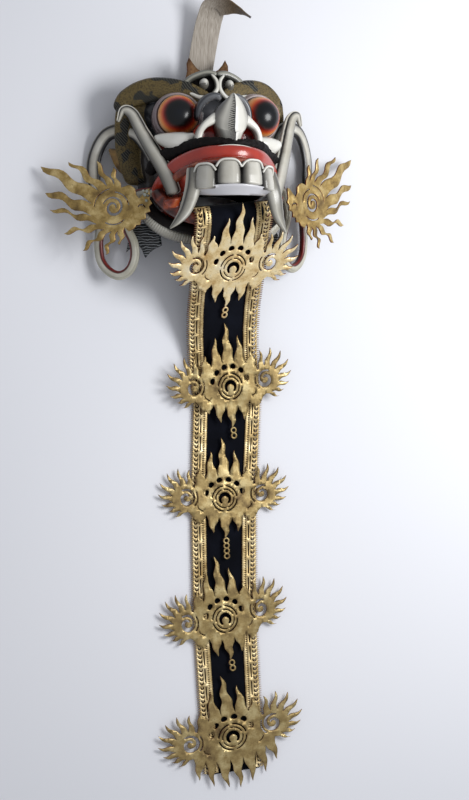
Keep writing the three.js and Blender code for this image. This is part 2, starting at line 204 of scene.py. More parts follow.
def mirroredX(bm):
    # the same shape on the other side of the face
    bmesh.ops.scale(bm, vec=(-1, 1, 1), space=Matrix.Translation(-home), verts=bm.verts)
    bmesh.ops.recalc_face_normals(bm, faces=bm.faces)
    return bm


def bothSides(make):
    # the shape on the right and its mirror image on the left, in one bmesh
    return joined([make(), mirroredX(make())])


def joined(parts):
    # several shapes as one, not melted together
    whole = bmesh.new()
    whole.loops.layers.uv.new("paint")
    for part in parts:
        mesh = bpy.data.meshes.new("part")
        part.to_mesh(mesh)
        part.free()
        whole.from_mesh(mesh)
        bpy.data.meshes.remove(mesh)
    return whole


def linear(code):
    # an sRGB hex colour turned linear
    parts = [int(code[i:i + 2], 16) / 255 for i in (1, 3, 5)]
    return [c / 12.92 if c <= 0.04045 else ((c + 0.055) / 1.055) ** 2.4 for c in parts] + [1.0]


def mainOutput(source):
    # a socket as it is, or the output of a node that is nearly always meant
    if isinstance(source, bpy.types.NodeSocket):
        return source
    return source.outputs[{"MIX": 2, "TEX_WAVE": 1}.get(source.type, 0)]  # else the first one


def addNode(tree, kind, settings=None, links=None):
    # one node with its settings and the nodes or sockets that feed it
    node = tree.nodes.new("ShaderNode" + kind)
    for name, value in (settings or {}).items():
        if name == "stops":
            ramp = node.color_ramp.elements
            ramp[0].position, ramp[1].position = value[0][0], value[-1][0]
            for at, colour in value[1:-1]:
                ramp.new(at)
            for element, (at, colour) in zip(ramp, value):
                element.color = linear(colour) if isinstance(colour, str) else [colour] * 3 + [1]
        elif isinstance(name, str) and hasattr(node, name):
            setattr(node, name, value)
        else:
            node.inputs[name].default_value = linear(value) if isinstance(value, str) else value
    for name, source in (links or {}).items():
        tree.links.new(mainOutput(source), node.inputs[name])
    return node


def newMaterial(name, settings):
    # a fresh material, what adds a node to it, and what its patterns are measured by: the place on
    # the piece in metres, and the way along and round it
    material = bpy.data.materials.new(name)
    material.use_nodes = True
    tree = material.node_tree
    for socket, value in settings.items():
        tree.nodes["Principled BSDF"].inputs[socket].default_value = value
    add = functools.partial(addNode, tree)
    coords = add("TexCoord")
    return material, add, {"Vector": coords.outputs["Object"]}, {"Vector": coords.outputs["UV"]}


def wearing(material, colour, height=None, strength=0.1, depth=0.0003, rough=None):
    # joins colour, fine relief (its strength, and its depth in metres) and roughness to the shader
    tree = material.node_tree
    feeds = {"Base Color": colour}
    if height:
        bump = {"Strength": strength, "Distance": depth}
        feeds["Normal"] = addNode(tree, "Bump", bump, {"Height": height})
    if rough:
        feeds["Roughness"] = rough
    for name, source in feeds.items():
        tree.links.new(mainOutput(source), tree.nodes["Principled BSDF"].inputs[name])
    return material


multiply = {"data_type": "RGBA", "blend_type": "MULTIPLY"}  # one colour darkened by another


def cloudyPaint(name, settings, grain, stops, relief=None):
    # a paint that drifts between a few tones; relief is its strength and depth
    material, add, place, _ = newMaterial(name, settings)
    cloud = add("TexNoise", grain, place)
    colour = add("ValToRGB", {"stops": stops}, {"Fac": cloud})
    return wearing(material, colour, cloud, *relief) if relief else wearing(material, colour)


def lipLacquer():
    # vermilion lacquer on wood: a wet red, with painted shade darkening it into the folds
    material, add, place, way = newMaterial("lipLacquer", {
        "Roughness": 0.28, "Coat Weight": 0.6, "Coat Roughness": 0.12, "IOR": 1.5})
    cloud = add("TexNoise", {"Scale": 60, "Detail": 4}, place)
    around = add("SeparateXYZ", links=way)
    # painted shade: dark red at both sides and the underside of the roll, brightest along its top
    fold = add("ValToRGB", {"stops": [
        (0.0, "#6a1a10"), (0.12, "#962916"), (0.25, "#b0321d"), (0.4, "#a22b18"), (0.5, "#561509"),
        (1.0, "#6a1a10")]}, {"Fac": around.outputs["Y"]})
    worn = add("ValToRGB", {"stops": [(0.35, "#ffffff"), (0.75, "#c98a78")]}, {"Fac": cloud})
    colour = add("Mix", {**multiply, 0: 0.6}, {6: fold, 7: worn})
    brush = add("TexNoise", {"Scale": 900, "Detail": 2}, place)
    return wearing(material, colour, brush, 0.08)


def bonePaint(name, bands, rough=0.32, streak=0.35):
    # satin grey-white enamel over wood or horn, shaded darker to the edges and lined in black:
    # bands are its colours round the piece
    material, add, place, way = newMaterial(name, {
        "Roughness": rough, "Coat Weight": 0.35, "Coat Roughness": 0.2, "IOR": 1.5})
    around = add("SeparateXYZ", links=way)
    cloud = add("TexNoise", {"Scale": 45, "Detail": 5, "Roughness": 0.6}, place)
    # the brush line wanders by a few hundredths of the way round
    sway = add("Math", {"operation": "MULTIPLY_ADD", 1: 0.05, 2: -0.025}, {0: cloud})
    at = add("Math", {"operation": "ADD"}, {0: around.outputs["Y"], 1: sway})
    paint = add("ValToRGB", {"stops": bands}, {"Fac": at})
    age = add("ValToRGB", {"stops": [(0.3, "#ffffff"), (0.62, "#d8d2c2"), (0.8, "#9c937f")]},
              {"Fac": cloud})
    colour = add("Mix", {**multiply, 0: streak}, {6: paint, 7: age})
    grain = add("TexNoise", {"Scale": 700, "Detail": 2}, place)
    return wearing(material, colour, grain, 0.1)


def earPaint():
    # the ears' enamel: grey-white with a black groove, oxblood inside the hanging loops
    material, add, place, way = newMaterial("earEnamel", {
        "Roughness": 0.38, "Coat Weight": 0.25, "Coat Roughness": 0.25, "IOR": 1.5})
    around = add("SeparateXYZ", links=way)
    cloud = add("TexNoise", {"Scale": 50, "Detail": 4}, place)
    upper = add("ValToRGB", {"stops": [
        (0.0, "#17171a"), (0.125, "#1c1c1f"), (0.16, "#9b9991"), (0.205, "#dad8cf"), (0.27, "#c0beb5"),
        (0.325, "#6a6862"), (0.345, "#101014"), (0.39, "#101014"), (0.42, "#8d8b83"), (0.6, "#8b8982"),
        (0.8, "#33322f")]}, {"Fac": around.outputs["Y"]})
    lower = add("ValToRGB", {"stops": [
        (0.0, "#5d130f"), (0.14, "#7c1e18"), (0.2, "#3c0e0c"), (0.23, "#c8c6ba"), (0.4, "#b9b7a8"),
        (0.62, "#a3a094"), (0.8, "#6a675e"), (0.86, "#4a100d")]}, {"Fac": around.outputs["Y"]})
    where = add("ValToRGB", {"stops": [(0.4, 0.0), (0.5, 1.0)]}, {"Fac": around.outputs["X"]})
    paint = add("Mix", {"data_type": "RGBA"}, {0: where, 6: upper, 7: lower})
    age = add("ValToRGB", {"stops": [(0.35, "#ffffff"), (0.7, "#b5ad9c")]}, {"Fac": cloud})
    colour = add("Mix", {**multiply, 0: 0.5}, {6: paint, 7: age})
    return wearing(material, colour, cloud, 0.12, 0.0006)


def eyeEnamel():
    # glossy enamel rings on the eyeball: black pupil, blood red, orange, gold
    material, add, place, way = newMaterial("eyeEnamel", {
        "Roughness": 0.3, "Specular IOR Level": 0.15, "Coat Weight": 0.5, "Coat Roughness": 0.2,
        "IOR": 1.5})
    around = add("SeparateXYZ", links=way)
    cloud = add("TexNoise", {"Scale": 140, "Detail": 3}, place)
    sway = add("Math", {"operation": "MULTIPLY_ADD", 1: 0.02, 2: -0.01}, {0: cloud})
    at = add("Math", {"operation": "ADD"}, {0: around.outputs["X"], 1: sway})
    rings = add("ValToRGB", {"stops": [
        (0.0, "#1b0f0e"), (0.5, "#2a1412"), (0.525, "#6e4328"), (0.55, "#b9855a"), (0.585, "#e3b183"),
        (0.62, "#e9a566"), (0.665, "#dd7a3c"), (0.71, "#b23c1c"), (0.75, "#64150d"), (0.785, "#280a07"),
        (0.815, "#060709"), (0.87, "#05070b"), (1.0, "#080c15")]}, {"Fac": at})
    return wearing(material, rings)


def browGilt():
    # thin old gilding over dark ground, stippled with a fine point and patched with black hair
    material, add, place, _ = newMaterial("browGilt", {"Metallic": 0.3, "Roughness": 0.5})
    patches = add("TexNoise", {"Scale": 64, "Detail": 0.5}, place)
    dots = add("TexVoronoi", {"Scale": 620}, place)
    stipple = add("ValToRGB", {"stops": [(0.14, "#100d07"), (0.3, "#453a21"), (0.6, "#655631")]},
                  {"Fac": dots})
    hairs = add("TexWave", {"bands_direction": "DIAGONAL", "Scale": 150, "Distortion": 2, "Detail": 1},
                place)
    strokes = add("ValToRGB", {"stops": [(0.5, "#050506"), (0.9, "#4a493f")]}, {"Fac": hairs})
    where = add("ValToRGB", {"stops": [(0.575, 0.0), (0.595, 1.0)]}, {"Fac": patches})
    colour = add("Mix", {"data_type": "RGBA"}, {0: where, 6: stipple, 7: strokes})
    return wearing(material, colour, dots, 0.35, 0.0004)


def facePaint():
    # the ground of the face: blue-black round the eyes, red about the mouth, black at the rim
    material, add, place, _ = newMaterial("facePaint", {
        "Roughness": 0.36, "Coat Weight": 0.35, "Coat Roughness": 0.2})
    moved = add("Mapping", {"Location": (-home.x, -home.y, 0)}, place)
    at = add("SeparateXYZ", links={"Vector": moved})
    cloud = add("TexNoise", {"Scale": 40, "Detail": 3}, place)
    wander = add("Math", {"operation": "MULTIPLY_ADD", 1: 0.02, 2: -0.01}, {0: cloud})
    up = add("Math", {"operation": "ADD"}, {0: at.outputs["Y"], 1: wander})
    upper = add("MapRange", {"From Min": 0.018, "From Max": 0.034}, {"Value": up})
    edge = add("MapRange", {"From Min": 0.07, "From Max": 0.055}, {"Value": at.outputs["Z"]})
    red = add("ValToRGB", {"stops": [(0.3, "#6d1b13"), (0.5, "#a5301d"), (0.7, "#c4522c")]},
              {"Fac": cloud})
    night = add("ValToRGB", {"stops": [(0.3, "#101319"), (0.7, "#2a2c33")]}, {"Fac": cloud})
    lower = add("Mix", {"data_type": "RGBA", 7: "#120c0c"}, {0: edge, 6: red})
    colour = add("Mix", {"data_type": "RGBA"}, {0: upper, 6: lower, 7: night})
    return wearing(material, colour, cloud, 0.12, 0.0005)


def noseEnamel():
    # grey-white leaf of the nose, with short black hair strokes beside its ridge; painted shade greys its
    # left flank and darkens both edges, and its right flank is painted whiter as the lit side
    material, add, place, way = newMaterial("noseEnamel", {
        "Roughness": 0.34, "Coat Weight": 0.3, "Coat Roughness": 0.2, "IOR": 1.5})
    around = add("SeparateXYZ", links=way)
    # painted light and shade round the leaf: dark at its left edge, grey over the left flank, a black ridge
    # line, white over the right flank, dark again at the right edge
    body = add("ValToRGB", {"stops": [
        (0.0, "#3a3836"), (0.07, "#7d7b75"), (0.14, "#b9b7ae"), (0.2, "#a9a79f"), (0.243, "#8b8982"),
        (0.247, "#0f0f11"), (0.255, "#0f0f11"), (0.259, "#e2e1da"), (0.37, "#d5d3ca"), (0.46, "#77756e"),
        (0.52, "#2a2928")]}, {"Fac": around.outputs["Y"]})
    cloud = add("TexNoise", {"Scale": 500, "Detail": 2}, place)
    # strokes lie across the leaf, about one to every 1.5 mm of its length
    run = add("Math", {"operation": "MULTIPLY", 1: 300.0}, {0: around.outputs["X"]})
    loose = add("Math", {"operation": "MULTIPLY_ADD", 1: 5.0}, {0: cloud, 2: run})
    stroke = add("Math", {"operation": "SINE"}, {0: loose})
    reach = add("MapRange", {"From Min": -1.0, "From Max": 1.0, "To Min": 0.18, "To Max": 0.25},
                {"Value": stroke})
    inside = add("Math", {"operation": "GREATER_THAN"}, {0: around.outputs["Y"], 1: reach})
    past = add("Math", {"operation": "LESS_THAN", 1: 0.25}, {0: around.outputs["Y"]})
    both = add("Math", {"operation": "MULTIPLY"}, {0: inside, 1: past})
    colour = add("Mix", {"data_type": "RGBA", 7: "#141315"}, {0: both, 6: body})
    return wearing(material, colour, cloud, 0.1)


def rawWood():
    # bare pale wood inside the hollow, with gouge marks about 9 mm across
    material, add, place, _ = newMaterial("rawWood", {"Roughness": 0.75})
    stretch = add("Mapping", {"Scale": (1, 0.12, 1)}, place)
    grain = add("TexNoise", {"Scale": 380, "Detail": 6, "Roughness": 0.6}, {"Vector": stretch})
    gouges = add("TexVoronoi", {"Scale": 110, "feature": "SMOOTH_F1"}, place)
    colour = add("ValToRGB", {"stops": [(0.25, "#8a6a45"), (0.55, "#b8946a"), (0.8, "#cdb08a")]},
                 {"Fac": grain})
    return wearing(material, colour, gouges, 0.5, 0.0012)


def giltHide(name, light, middle, dark, shine):
    # gold leaf on cut hide: bright leaf, dull where it is rubbed, with fine dark pits
    material, add, place, _ = newMaterial(name, {"Metallic": shine, "Roughness": 0.4})
    rub = add("TexNoise", {"Scale": 55, "Detail": 6, "Roughness": 0.65}, place)
    pits = add("TexNoise", {"Scale": 520, "Detail": 3, "Roughness": 0.7}, place)
    leaf = add("ValToRGB", {"stops": [(0.3, dark), (0.5, middle), (0.68, light)]}, {"Fac": rub})
    speck = add("ValToRGB", {"stops": [(0.26, "#6a5230"), (0.4, "#ffffff")]}, {"Fac": pits})
    colour = add("Mix", {**multiply, 0: 0.8}, {6: leaf, 7: speck})
    rough = add("MapRange", {"From Min": 0.3, "From Max": 0.7, "To Min": 0.56, "To Max": 0.36},
                {"Value": rub})
    return wearing(material, colour, pits, 0.12, 0.0004, rough)


def blackHide():
    # black painted hide drawn with fine pale waving hairlines about 3 mm apart
    material, add, place, _ = newMaterial("blackHide", {"Roughness": 0.42, "Coat Weight": 0.2})
    hairlines = add("TexWave", {"bands_direction": "Y", "Scale": 95, "Distortion": 5,
                                "Detail": 1.5, "Detail Scale": 1.2}, place)
    colour = add("ValToRGB", {"stops": [(0.0, "#12161c"), (0.9, "#171c23"), (0.955, "#b9bfc2")]},
                 {"Fac": hairlines})
    return wearing(material, colour)


def rawHide():
    # stiff raw hide, taupe, drawn lengthwise with fibres about 1 mm apart, dark at the folded tip
    material, add, place, way = newMaterial("rawHide", {"Roughness": 0.62})
    around = add("SeparateXYZ", links=way)
    drawn = add("Mapping", {"Scale": (1, 0.06, 0.3)}, place)
    fibres = add("TexNoise", {"Scale": 900, "Detail": 5, "Roughness": 0.65}, {"Vector": drawn})
    hide = add("ValToRGB", {"stops": [(0.3, "#7c7266"), (0.5, "#9f968a"), (0.7, "#b9b1a6")]},
               {"Fac": fibres})
    tip = add("ValToRGB", {"stops": [
        (0.0, "#6b5f52"), (0.3, "#ffffff"), (0.62, "#ffffff"), (0.8, "#a8926f"), (1.0, "#4a3a2c")]},
        {"Fac": around.outputs["X"]})
    colour = add("Mix", {**multiply, 0: 1.0}, {6: hide, 7: tip})
    return wearing(material, colour, fibres, 0.3, 0.0005)


def blackCloth():
    # close black cotton, drawn coarser than it is so that its weave shows: threads 1.2 mm apart
    material, add, place, _ = newMaterial("blackCloth", {
        "Roughness": 0.95, "Sheen Weight": 0.04, "Sheen Roughness": 0.5, "Specular IOR Level": 0.1})
    pitch, turnPerScale = 0.0012, 20  # metres from thread to thread, and radians to one unit of Scale
    thread = 2 * math.pi / pitch / turnPerScale
    warp = add("TexWave", {"bands_direction": "X", "Scale": thread}, place)
    weft = add("TexWave", {"bands_direction": "Y", "Scale": thread}, place)
    weave = add("Math", {"operation": "MULTIPLY"}, {0: warp, 1: weft})
    cloud = add("TexNoise", {"Scale": 30, "Detail": 3}, place)
    tone = add("Math", {"operation": "MULTIPLY_ADD", 1: 0.35}, {0: weave, 2: cloud})
    colour = add("ValToRGB", {"stops": [(0.3, "#030408"), (0.6, "#080a12"), (0.95, "#131722")]},
                 {"Fac": tone})
    return wearing(material, colour, weave, 0.4)


# the enamels' colours round the piece: 0 one side, 0.25 the top, 0.5 the other side
enamels = {
    # on the teeth, the dark sides and backs are painted shadow between and behind them; the front is
    # lightest
    "toothEnamel": {"bands": [
        (0.0, "#1c1b1c"), (0.06, "#4c4a46"), (0.13, "#a09e96"), (0.21, "#cdcbc2"), (0.29, "#aeaca4"),
        (0.38, "#66645e"), (0.45, "#1c1b1c"), (0.6, "#15151a"), (0.9, "#15151a")]},
    "tuskEnamel": {"rough": 0.36, "streak": 0.5, "bands": [
        (0.0, "#24231f"), (0.08, "#5f5d56"), (0.17, "#b3b1a8"), (0.25, "#d2d0c7"), (0.3, "#a09e96"),
        (0.335, "#4c4a46"), (0.35, "#0c0c0f"), (0.38, "#0c0c0f"), (0.395, "#e6e4dc"), (0.5, "#c9c7be"),
        (0.6, "#44423e"), (0.9, "#3a3936")]},
    "fangEnamel": {"rough": 0.36, "streak": 0.5, "bands": [
        (0.0, "#44423e"), (0.1, "#85837c"), (0.18, "#d2d1c9"), (0.24, "#a09e96"), (0.34, "#6a6862"),
        (0.39, "#17171a"), (0.43, "#9d9b93"), (0.5, "#c9c7be"), (0.6, "#4c4a46"), (0.9, "#3a3937")]},
    "whiteRimEnamel": {"rough": 0.3, "streak": 0.25, "bands": [
        (0.0, "#a9a7a0"), (0.12, "#d9d8d1"), (0.3, "#e2e1da"), (0.45, "#b5b3ab"), (0.6, "#6a6862"),
        (0.9, "#6a6862")]},
    "whiskerGrey": {"streak": 0.5, "bands": [
        (0.0, "#3a3937"), (0.12, "#a3a199"), (0.28, "#c4c2b8"), (0.4, "#55534f"), (0.46, "#121114"),
        (0.95, "#121114")]},
    # on the grey curl beside the nose, painted light and shade: a pale painted highlight near its top on one
    # side, fading to near black over the other side
    "nightGrey": {"streak": 0.3, "bands": [
        (0.0, "#75787d"), (0.12, "#a2a5a9"), (0.22, "#7c7f84"), (0.32, "#2b2e34"), (0.45, "#0b0d12"),
        (0.95, "#3a3c40")]},
    "archGrey": {"streak": 0.3, "bands": [
        (0.0, "#3c3d39"), (0.13, "#6f7068"), (0.22, "#a2a298"), (0.3, "#4a4b46"), (0.45, "#161716"),
        (0.95, "#2a2b29")]},
    "scrollEnamel": {"streak": 0.3, "bands": [
        (0.0, "#242522"), (0.1, "#4a4b45"), (0.17, "#cfcec6"), (0.31, "#e4e3dc"), (0.38, "#5a5b54"),
        (0.45, "#181918"), (0.95, "#181918")]},
    "palateEnamel": {"streak": 0.15, "bands": [(0.0, "#bdbdc3"), (0.3, "#cfcfd4"), (0.7, "#b6b6bb")]},
    # on the eye lids, painted light and shade: one uniform mauve-grey, paler a third of the way round and
    # darker over the far side
    "lidEnamel": {"bands": [(0.0, "#8d8084"), (0.3, "#a79a9a"), (0.6, "#756a6e"), (0.9, "#8d8084")]},
}
bone = {name: bonePaint(name, **form) for name, form in enamels.items()}
rim = bone["whiteRimEnamel"]
# lacquers streaked from nearly black in their dips to orange
lacquers = {
    "foldLacquer": ("#3b130b", "#7c2c18", "#a8582f"),  # the gum fold
    "lowerLipLacquer": ("#150504", "#4d150b", "#9a4220"),
    "cornerLacquer": ("#4a150c", "#a03c1c", "#c26436"),  # round the tusks' roots
    "ochrePaint": ("#2c220f", "#6b4f1c", "#8a6a2a"),
}
satin = {"Roughness": 0.35, "Coat Weight": 0.3, "IOR": 1.5}
lacquer = {name: cloudyPaint(name, satin, {"Scale": 90, "Detail": 4}, list(zip((0.3, 0.5, 0.7), tones)))
           for name, tones in lacquers.items()}
# gold leaf from light to dark, and how metallic it still is
gilts = {
    # the first sun's leaf: the same gilt painted paler and kept less metallic, as painted light that makes
    # it look the most lit
    "paintedLitGiltHide": ("#fff2cf", "#f3dba6", "#bf9c62", 0.55),
    "giltHide": ("#cdbb8a", "#a18b5c", "#6a573a", 0.75),
    "laceGiltHide": ("#efdcae", "#cdb582", "#93794a", 0.65),
    "oldGiltHide": ("#dcc48a", "#a88d54", "#655030", 0.6),
    "brownGiltHide": ("#a07e58", "#74553a", "#463022", 0.75),
}
gilt = {name: giltHide(name, *tones) for name, tones in gilts.items()}
# deep red inside the nostrils
nostrilRed = cloudyPaint("nostrilLacquer", satin, {"Scale": 150, "Detail": 3},
                         [(0.3, "#4d0f0b"), (0.5, "#962218"), (0.65, "#b53022")])
# soft dusty black for moustache and grounds
soot = cloudyPaint("sootPaint", {"Roughness": 0.6, "Specular IOR Level": 0.15},
                   {"Scale": 420, "Detail": 3, "Roughness": 0.7},
                   [(0.35, "#050405"), (0.6, "#130d0c"), (0.8, "#2a1e1b")], (0.3, 0.0004))
# the cut edge of the hide, where the red clay under the gold leaf shows
bole = cloudyPaint("boleEdge", {"Metallic": 0.2, "Roughness": 0.6}, {"Scale": 160, "Detail": 4},
                   [(0.35, "#42170f"), (0.55, "#7c3020"), (0.7, "#9a6238")])
# small clear and smoky glass beads
glass = cloudyPaint("beadGlass", {
    "Roughness": 0.08, "IOR": 1.5, "Transmission Weight": 0.35, "Coat Weight": 0.5},
    {"Scale": 90, "Detail": 1}, [(0.4, "#4e5550"), (0.6, "#b8bdb2")])
# a plain pale sheet, faintly uneven
paleFloor = cloudyPaint("paleFloor", {"Roughness": 0.85, "Specular IOR Level": 0.2},
                        {"Scale": 1.5, "Detail": 1}, [(0.3, "#e2e4ea"), (0.7, "#e8e9ee")])
gilding = browGilt()
ground = facePaint()
wood = rawWood()
leafBlack = blackHide()
print("materials made")


# Millimetres from the middle of the face: x to the right, y to the crown, z off the floor.
face = {
    "skull": ((0, 0, 22), (92, 98, 60)), "forehead": ((0, 60, 38), (88, 42, 38)),
    "snout": ((0, -24, 78), (61, 48, 70)), "chin": ((0, -70, 48), (72, 32, 44)),
    "hollow": ((0, -4, 0), (77, 83, 60)), "mouth": ((4, -60, 80), (62, 17, 84)),
    "grain": 2.4,  # size of the smoothing grid over the joins
    "passes": 6,  # how often the joins are smoothed
}


def headBase():
    # the smooth ground of the face: four rounded masses melted together
    parts = [egg(*face[name], along=24, around=36) for name in ("skull", "forehead", "snout", "chin")]
    base = toMesh(joined(parts), "carvedMask", [ground])
    melt = base.modifiers.new("melt", "REMESH")
    melt.mode = "VOXEL"
    melt.voxel_size = face["grain"] * mm
    applied(base)
    bm = bmesh.new()
    bm.from_mesh(base.data)
    for _ in range(face["passes"]):
        bmesh.ops.smooth_vert(bm, verts=bm.verts, factor=0.5,
                              use_axis_x=True, use_axis_y=True, use_axis_z=True)
    whole = list(bm.verts) + list(bm.edges) + list(bm.faces)
    bmesh.ops.bisect_plane(bm, geom=whole, plane_co=(0, 0, 0), plane_no=(0, 0, -1), clear_outer=True)
    bmesh.ops.holes_fill(bm, edges=[e for e in bm.edges if e.is_boundary], sides=0)
    bmesh.ops.triangulate(bm, faces=[f for f in bm.faces if len(f.verts) > 4])
    bmesh.ops.recalc_face_normals(bm, faces=bm.faces)
    for f in bm.faces:
        f.smooth = True
    bm.to_mesh(base.data)
    bm.free()
    base.data.materials.clear()
    base.data.materials.append(ground)
    return base


base = headBase()
print("head base", len(base.data.polygons))

eye = {
    "right": (54, 54, 74), "left": (50.5, 50, 74), "splay": 11,
    "radius": 25.6, "bulge": 24.5, "forward": 4,  # the ball, and how far it stands out of its lid
    "lid": [(25, -26), (31, -24), (31.8, -10), (31.2, -5), (29.8, -3), (29.6, 1.2), (28.4, 3.6),
            (26.6, 3.8), (25.4, 1.6), (24.8, -4), (23, -24), (25, -26)],
}


def splayed(part):
    # how far an eye or a nostril is turned outwards
    return Matrix.Rotation(radians(part["splay"]), 3, "Y")


def eyeball(side):
    at = Vector(eye[side]) + splayed(eye) @ Vector((0, 0, eye["forward"]))
    return egg(at, (eye["radius"], eye["radius"], eye["bulge"]), along=56, around=56, tilt=splayed(eye))


def eyeLid(side):
    # a rolled rim round the eyeball, with a fine groove outside it
    return lathe(eye["lid"], eye[side], splayed(eye), along=48, around=64)


brow = {
    "band": [(8, 80, 72, 16, 16), (40, 92, 66, 24, 14), (78, 93, 54, 30, 14), (106, 82, 42, 26, 12),
             (119, 68, 34, 12, 8)],
    "flange": [(94, 88, 44, 34, 10), (99, 70, 40, 42, 12), (99, 40, 34, 44, 12), (97, 10, 32, 40, 12),
               (92, -24, 36, 26, 10)],
    "lobe": [(127, 13, 28, 2, 3), (120, 8, 29, 14, 7), (109, -1, 30, 26, 10), (98, -10, 31, 27, 10),
             (90, -16, 31, 16, 8)],
    "right": {"share": 0.8, "drop": 4},  # the right brow is carved narrower
    "left": {"share": 1.0, "drop": 8},
}


def browPath(name, side, drop):
    # one path of the brow, narrowed and lowered for its side
    return [(s[0] * brow[side]["share"], s[1] - drop) + tuple(s[2:]) for s in brow[name]]


def browBand(side):
    # a visor-like band over the eye, with a raised bead along its lower edge
    def relief(u, t):
        return 1.2 * math.exp(-((t - 0.36) / 0.03) ** 2)
    path = browPath("band", side, brow[side]["drop"])
    return sweep(path, along=60, around=40, section=boxy(3), relief=relief, blunt=0.1)


def browFlange(side):
    path = browPath("flange", side, brow[side]["drop"])
    return sweep(path, along=40, around=28, section=boxy(2.6), blunt=0.08)


def browLobe(side):
    return sweep(browPath("lobe", side, 0), along=24, around=20, blunt=0.04)


bridge = [(0, 69, 140, 3, 5), (0, 63, 141, 16, 14), (0, 54, 138, 31, 26), (0, 44, 131, 43, 40),
          (0, 34, 124, 41, 54), (0, 24, 121, 32, 60), (0, 13, 120, 26, 58), (0, 5, 120, 19, 50)]


def leafSection(u, t):
    # a leaf with a crisp middle ridge and slightly hollow sides
    x, y = oval(u, t)
    return x * (1 - 0.18 * max(0.0, y) ** 3), y - 0.1 * math.exp(-((abs(x) - 0.55) / 0.25) ** 2)


def noseLeaf():
    return sweep(bridge, along=56, around=48, section=leafSection)


nostril = {
    "at": (23, 20, 116), "splay": 10,
    "rim": [(8, 47, 130, 9, 9), (14, 43.5, 129, 12, 12), (20, 40, 127.5, 12.5, 14),
            (26, 36, 126, 10.5, 16), (32, 31.5, 125, 8.5, 16), (36.5, 25, 123, 8, 16),
            (38.5, 17, 121.5, 8.5, 16), (37, 9, 121, 9, 15), (33, 3.5, 122, 9, 13), (29, 0.5, 123, 6, 9)],
    "well": [(0, -24), (18, -24), (19, -4), (16.5, 5), (13, 4.5), (11.5, -1), (8, -5), (0, -6.5)],
}


def nostrilRim():
    # a fat white rim round the nostril, like a horseshoe open towards the lip
    return sweep(nostril["rim"], along=72, around=36, section=boxy(3), blunt=0.05)


def nostrilWell():
    # the red well inside the rim
    return lathe(nostril["well"], nostril["at"], splayed(nostril), along=40, around=40)


fold = [(6, 68, 112, 8, 14), (14, 71, 108, 9.5, 16), (23, 68, 103, 10, 18), (30, 60, 100, 10, 18),
        (33, 50, 99, 9, 16), (33, 42, 101, 6, 12)]


def cheek():
    # a white almond under the eye
    path = [(80, 23, 76, 3, 5), (74, 19, 84, 14, 17), (61, 15.5, 96, 22, 22), (48, 17.5, 106, 17, 20),
            (39, 23, 111, 4, 7)]
    return sweep(path, along=40, around=28, blunt=0.06)


# the rolls round the mouth: each is the left half of one that runs right across the face
whiskers = [(-86, -22, 66, 12, 10), (-78, -9, 76, 18, 12), (-64, 1, 92, 19, 14), (-50, 6.5, 110, 16, 13),
            (-38, 9, 126, 15, 12), (-18, 10, 139, 11, 11), (0, 9.5, 143.5, 9, 11)]
upperLip = [(-80, -44, 68, 9, 10), (-72, -31, 80, 16, 13), (-61, -18, 97, 21, 14), (-48, -10, 117, 21, 14),
            (-34, -5.5, 133, 20, 14), (-16, -3.5, 144, 19, 14), (0, -3, 147.5, 18, 14)]
lipFold = [(-70, -44, 84, 8, 10), (-62, -31, 97, 11, 12), (-50, -21, 114, 12, 13), (-35, -15.5, 132, 12, 13),
           (-17, -13.5, 145, 11, 13), (0, -13, 149.5, 10, 13)]
lowerLip = [(-80, -44, 78, 14, 14), (-74, -54, 84, 17, 16), (-60, -67, 92, 18, 16), (-36, -76, 97, 18, 16),
            (0, -80, 99, 18, 16)]
chinBand = [(-88, -52, 62, 12, 12), (-80, -68, 66, 14, 13), (-62, -82, 76, 14, 14), (-38, -89, 82, 13, 14),
            (0, -92, 84, 12, 14)]
jaw = [(-90, -60, 52, 12, 11), (-82, -77, 60, 16, 14), (-66, -90, 66, 17, 15), (-44, -98, 68, 15, 14),
       (-20, -102, 69, 12, 12), (0, -104, 69, 10, 12)]
socket = [(59, -66, 93, 10, 9), (61.5, -61, 95, 17, 15), (64, -56, 97.4, 22, 19.5),
          (64.8, -53.4, 98.2, 22, 19.5)]  # the lacquered root of a tusk
# a fine white line above the lip, again its left half
lipLine = [(-26, 2.6, 144.5, 1, 1.6), (-14, 4.6, 148.5, 1.8, 2.4), (0, 5.4, 150.2, 2.0, 2.6)]


def bristle(u, t):
    # the moustache's uneven edge
    return 1.1 * noise.noise(Vector((u * 60, math.cos(2 * math.pi * t) * 1.5, 3.1)))


def jawRibs(u, t):
    # fine whisker ribs across the roll
    return 0.35 * math.sin(2 * math.pi * u * 74) * (0.5 + 0.5 * math.sin(2 * math.pi * t))


teeth = {"count": 4, "step": 32.6, "arch": 46, "z": 119, "wide": 14.4, "deep": 10.5, "lean": 2.0,
         "tops": (-19, -14.5, -14.5, -19), "bottoms": (-49, -44, -44, -48)}


def toothPlace(turn, radius):
    return Vector((radius * math.sin(turn), 0, teeth["z"] + radius * math.cos(turn)))


def incisor(index):
    # a squared column, narrower at the gum, its biting edge softly rounded
    turn = radians(teeth["step"] * (index - (teeth["count"] - 1) / 2))
    side = Vector((math.cos(turn), 0, -math.sin(turn)))
    out = Vector((math.sin(turn), 0, math.cos(turn)))

    def place(u, t):
        x, y = boxy(3)(u, t)
        tall = lerp(teeth["tops"][index], teeth["bottoms"][index], u)
        narrow = lerp(0.86, 1.0, min(1, u * 1.6))
        narrow *= math.sqrt(max(0.0, 1 - max(0.0, (u - 0.94) / 0.06) ** 2 * 0.35))
        narrow *= math.sqrt(max(0.0, 1 - max(0.0, (0.1 - u) / 0.1) ** 2))
        return (toothPlace(turn, teeth["arch"] + teeth["lean"] * u) + Vector((0, tall, 0))
                + side * x * teeth["wide"] * narrow + out * y * teeth["deep"] * narrow)

    return wrapGrid(place, 30, 44)


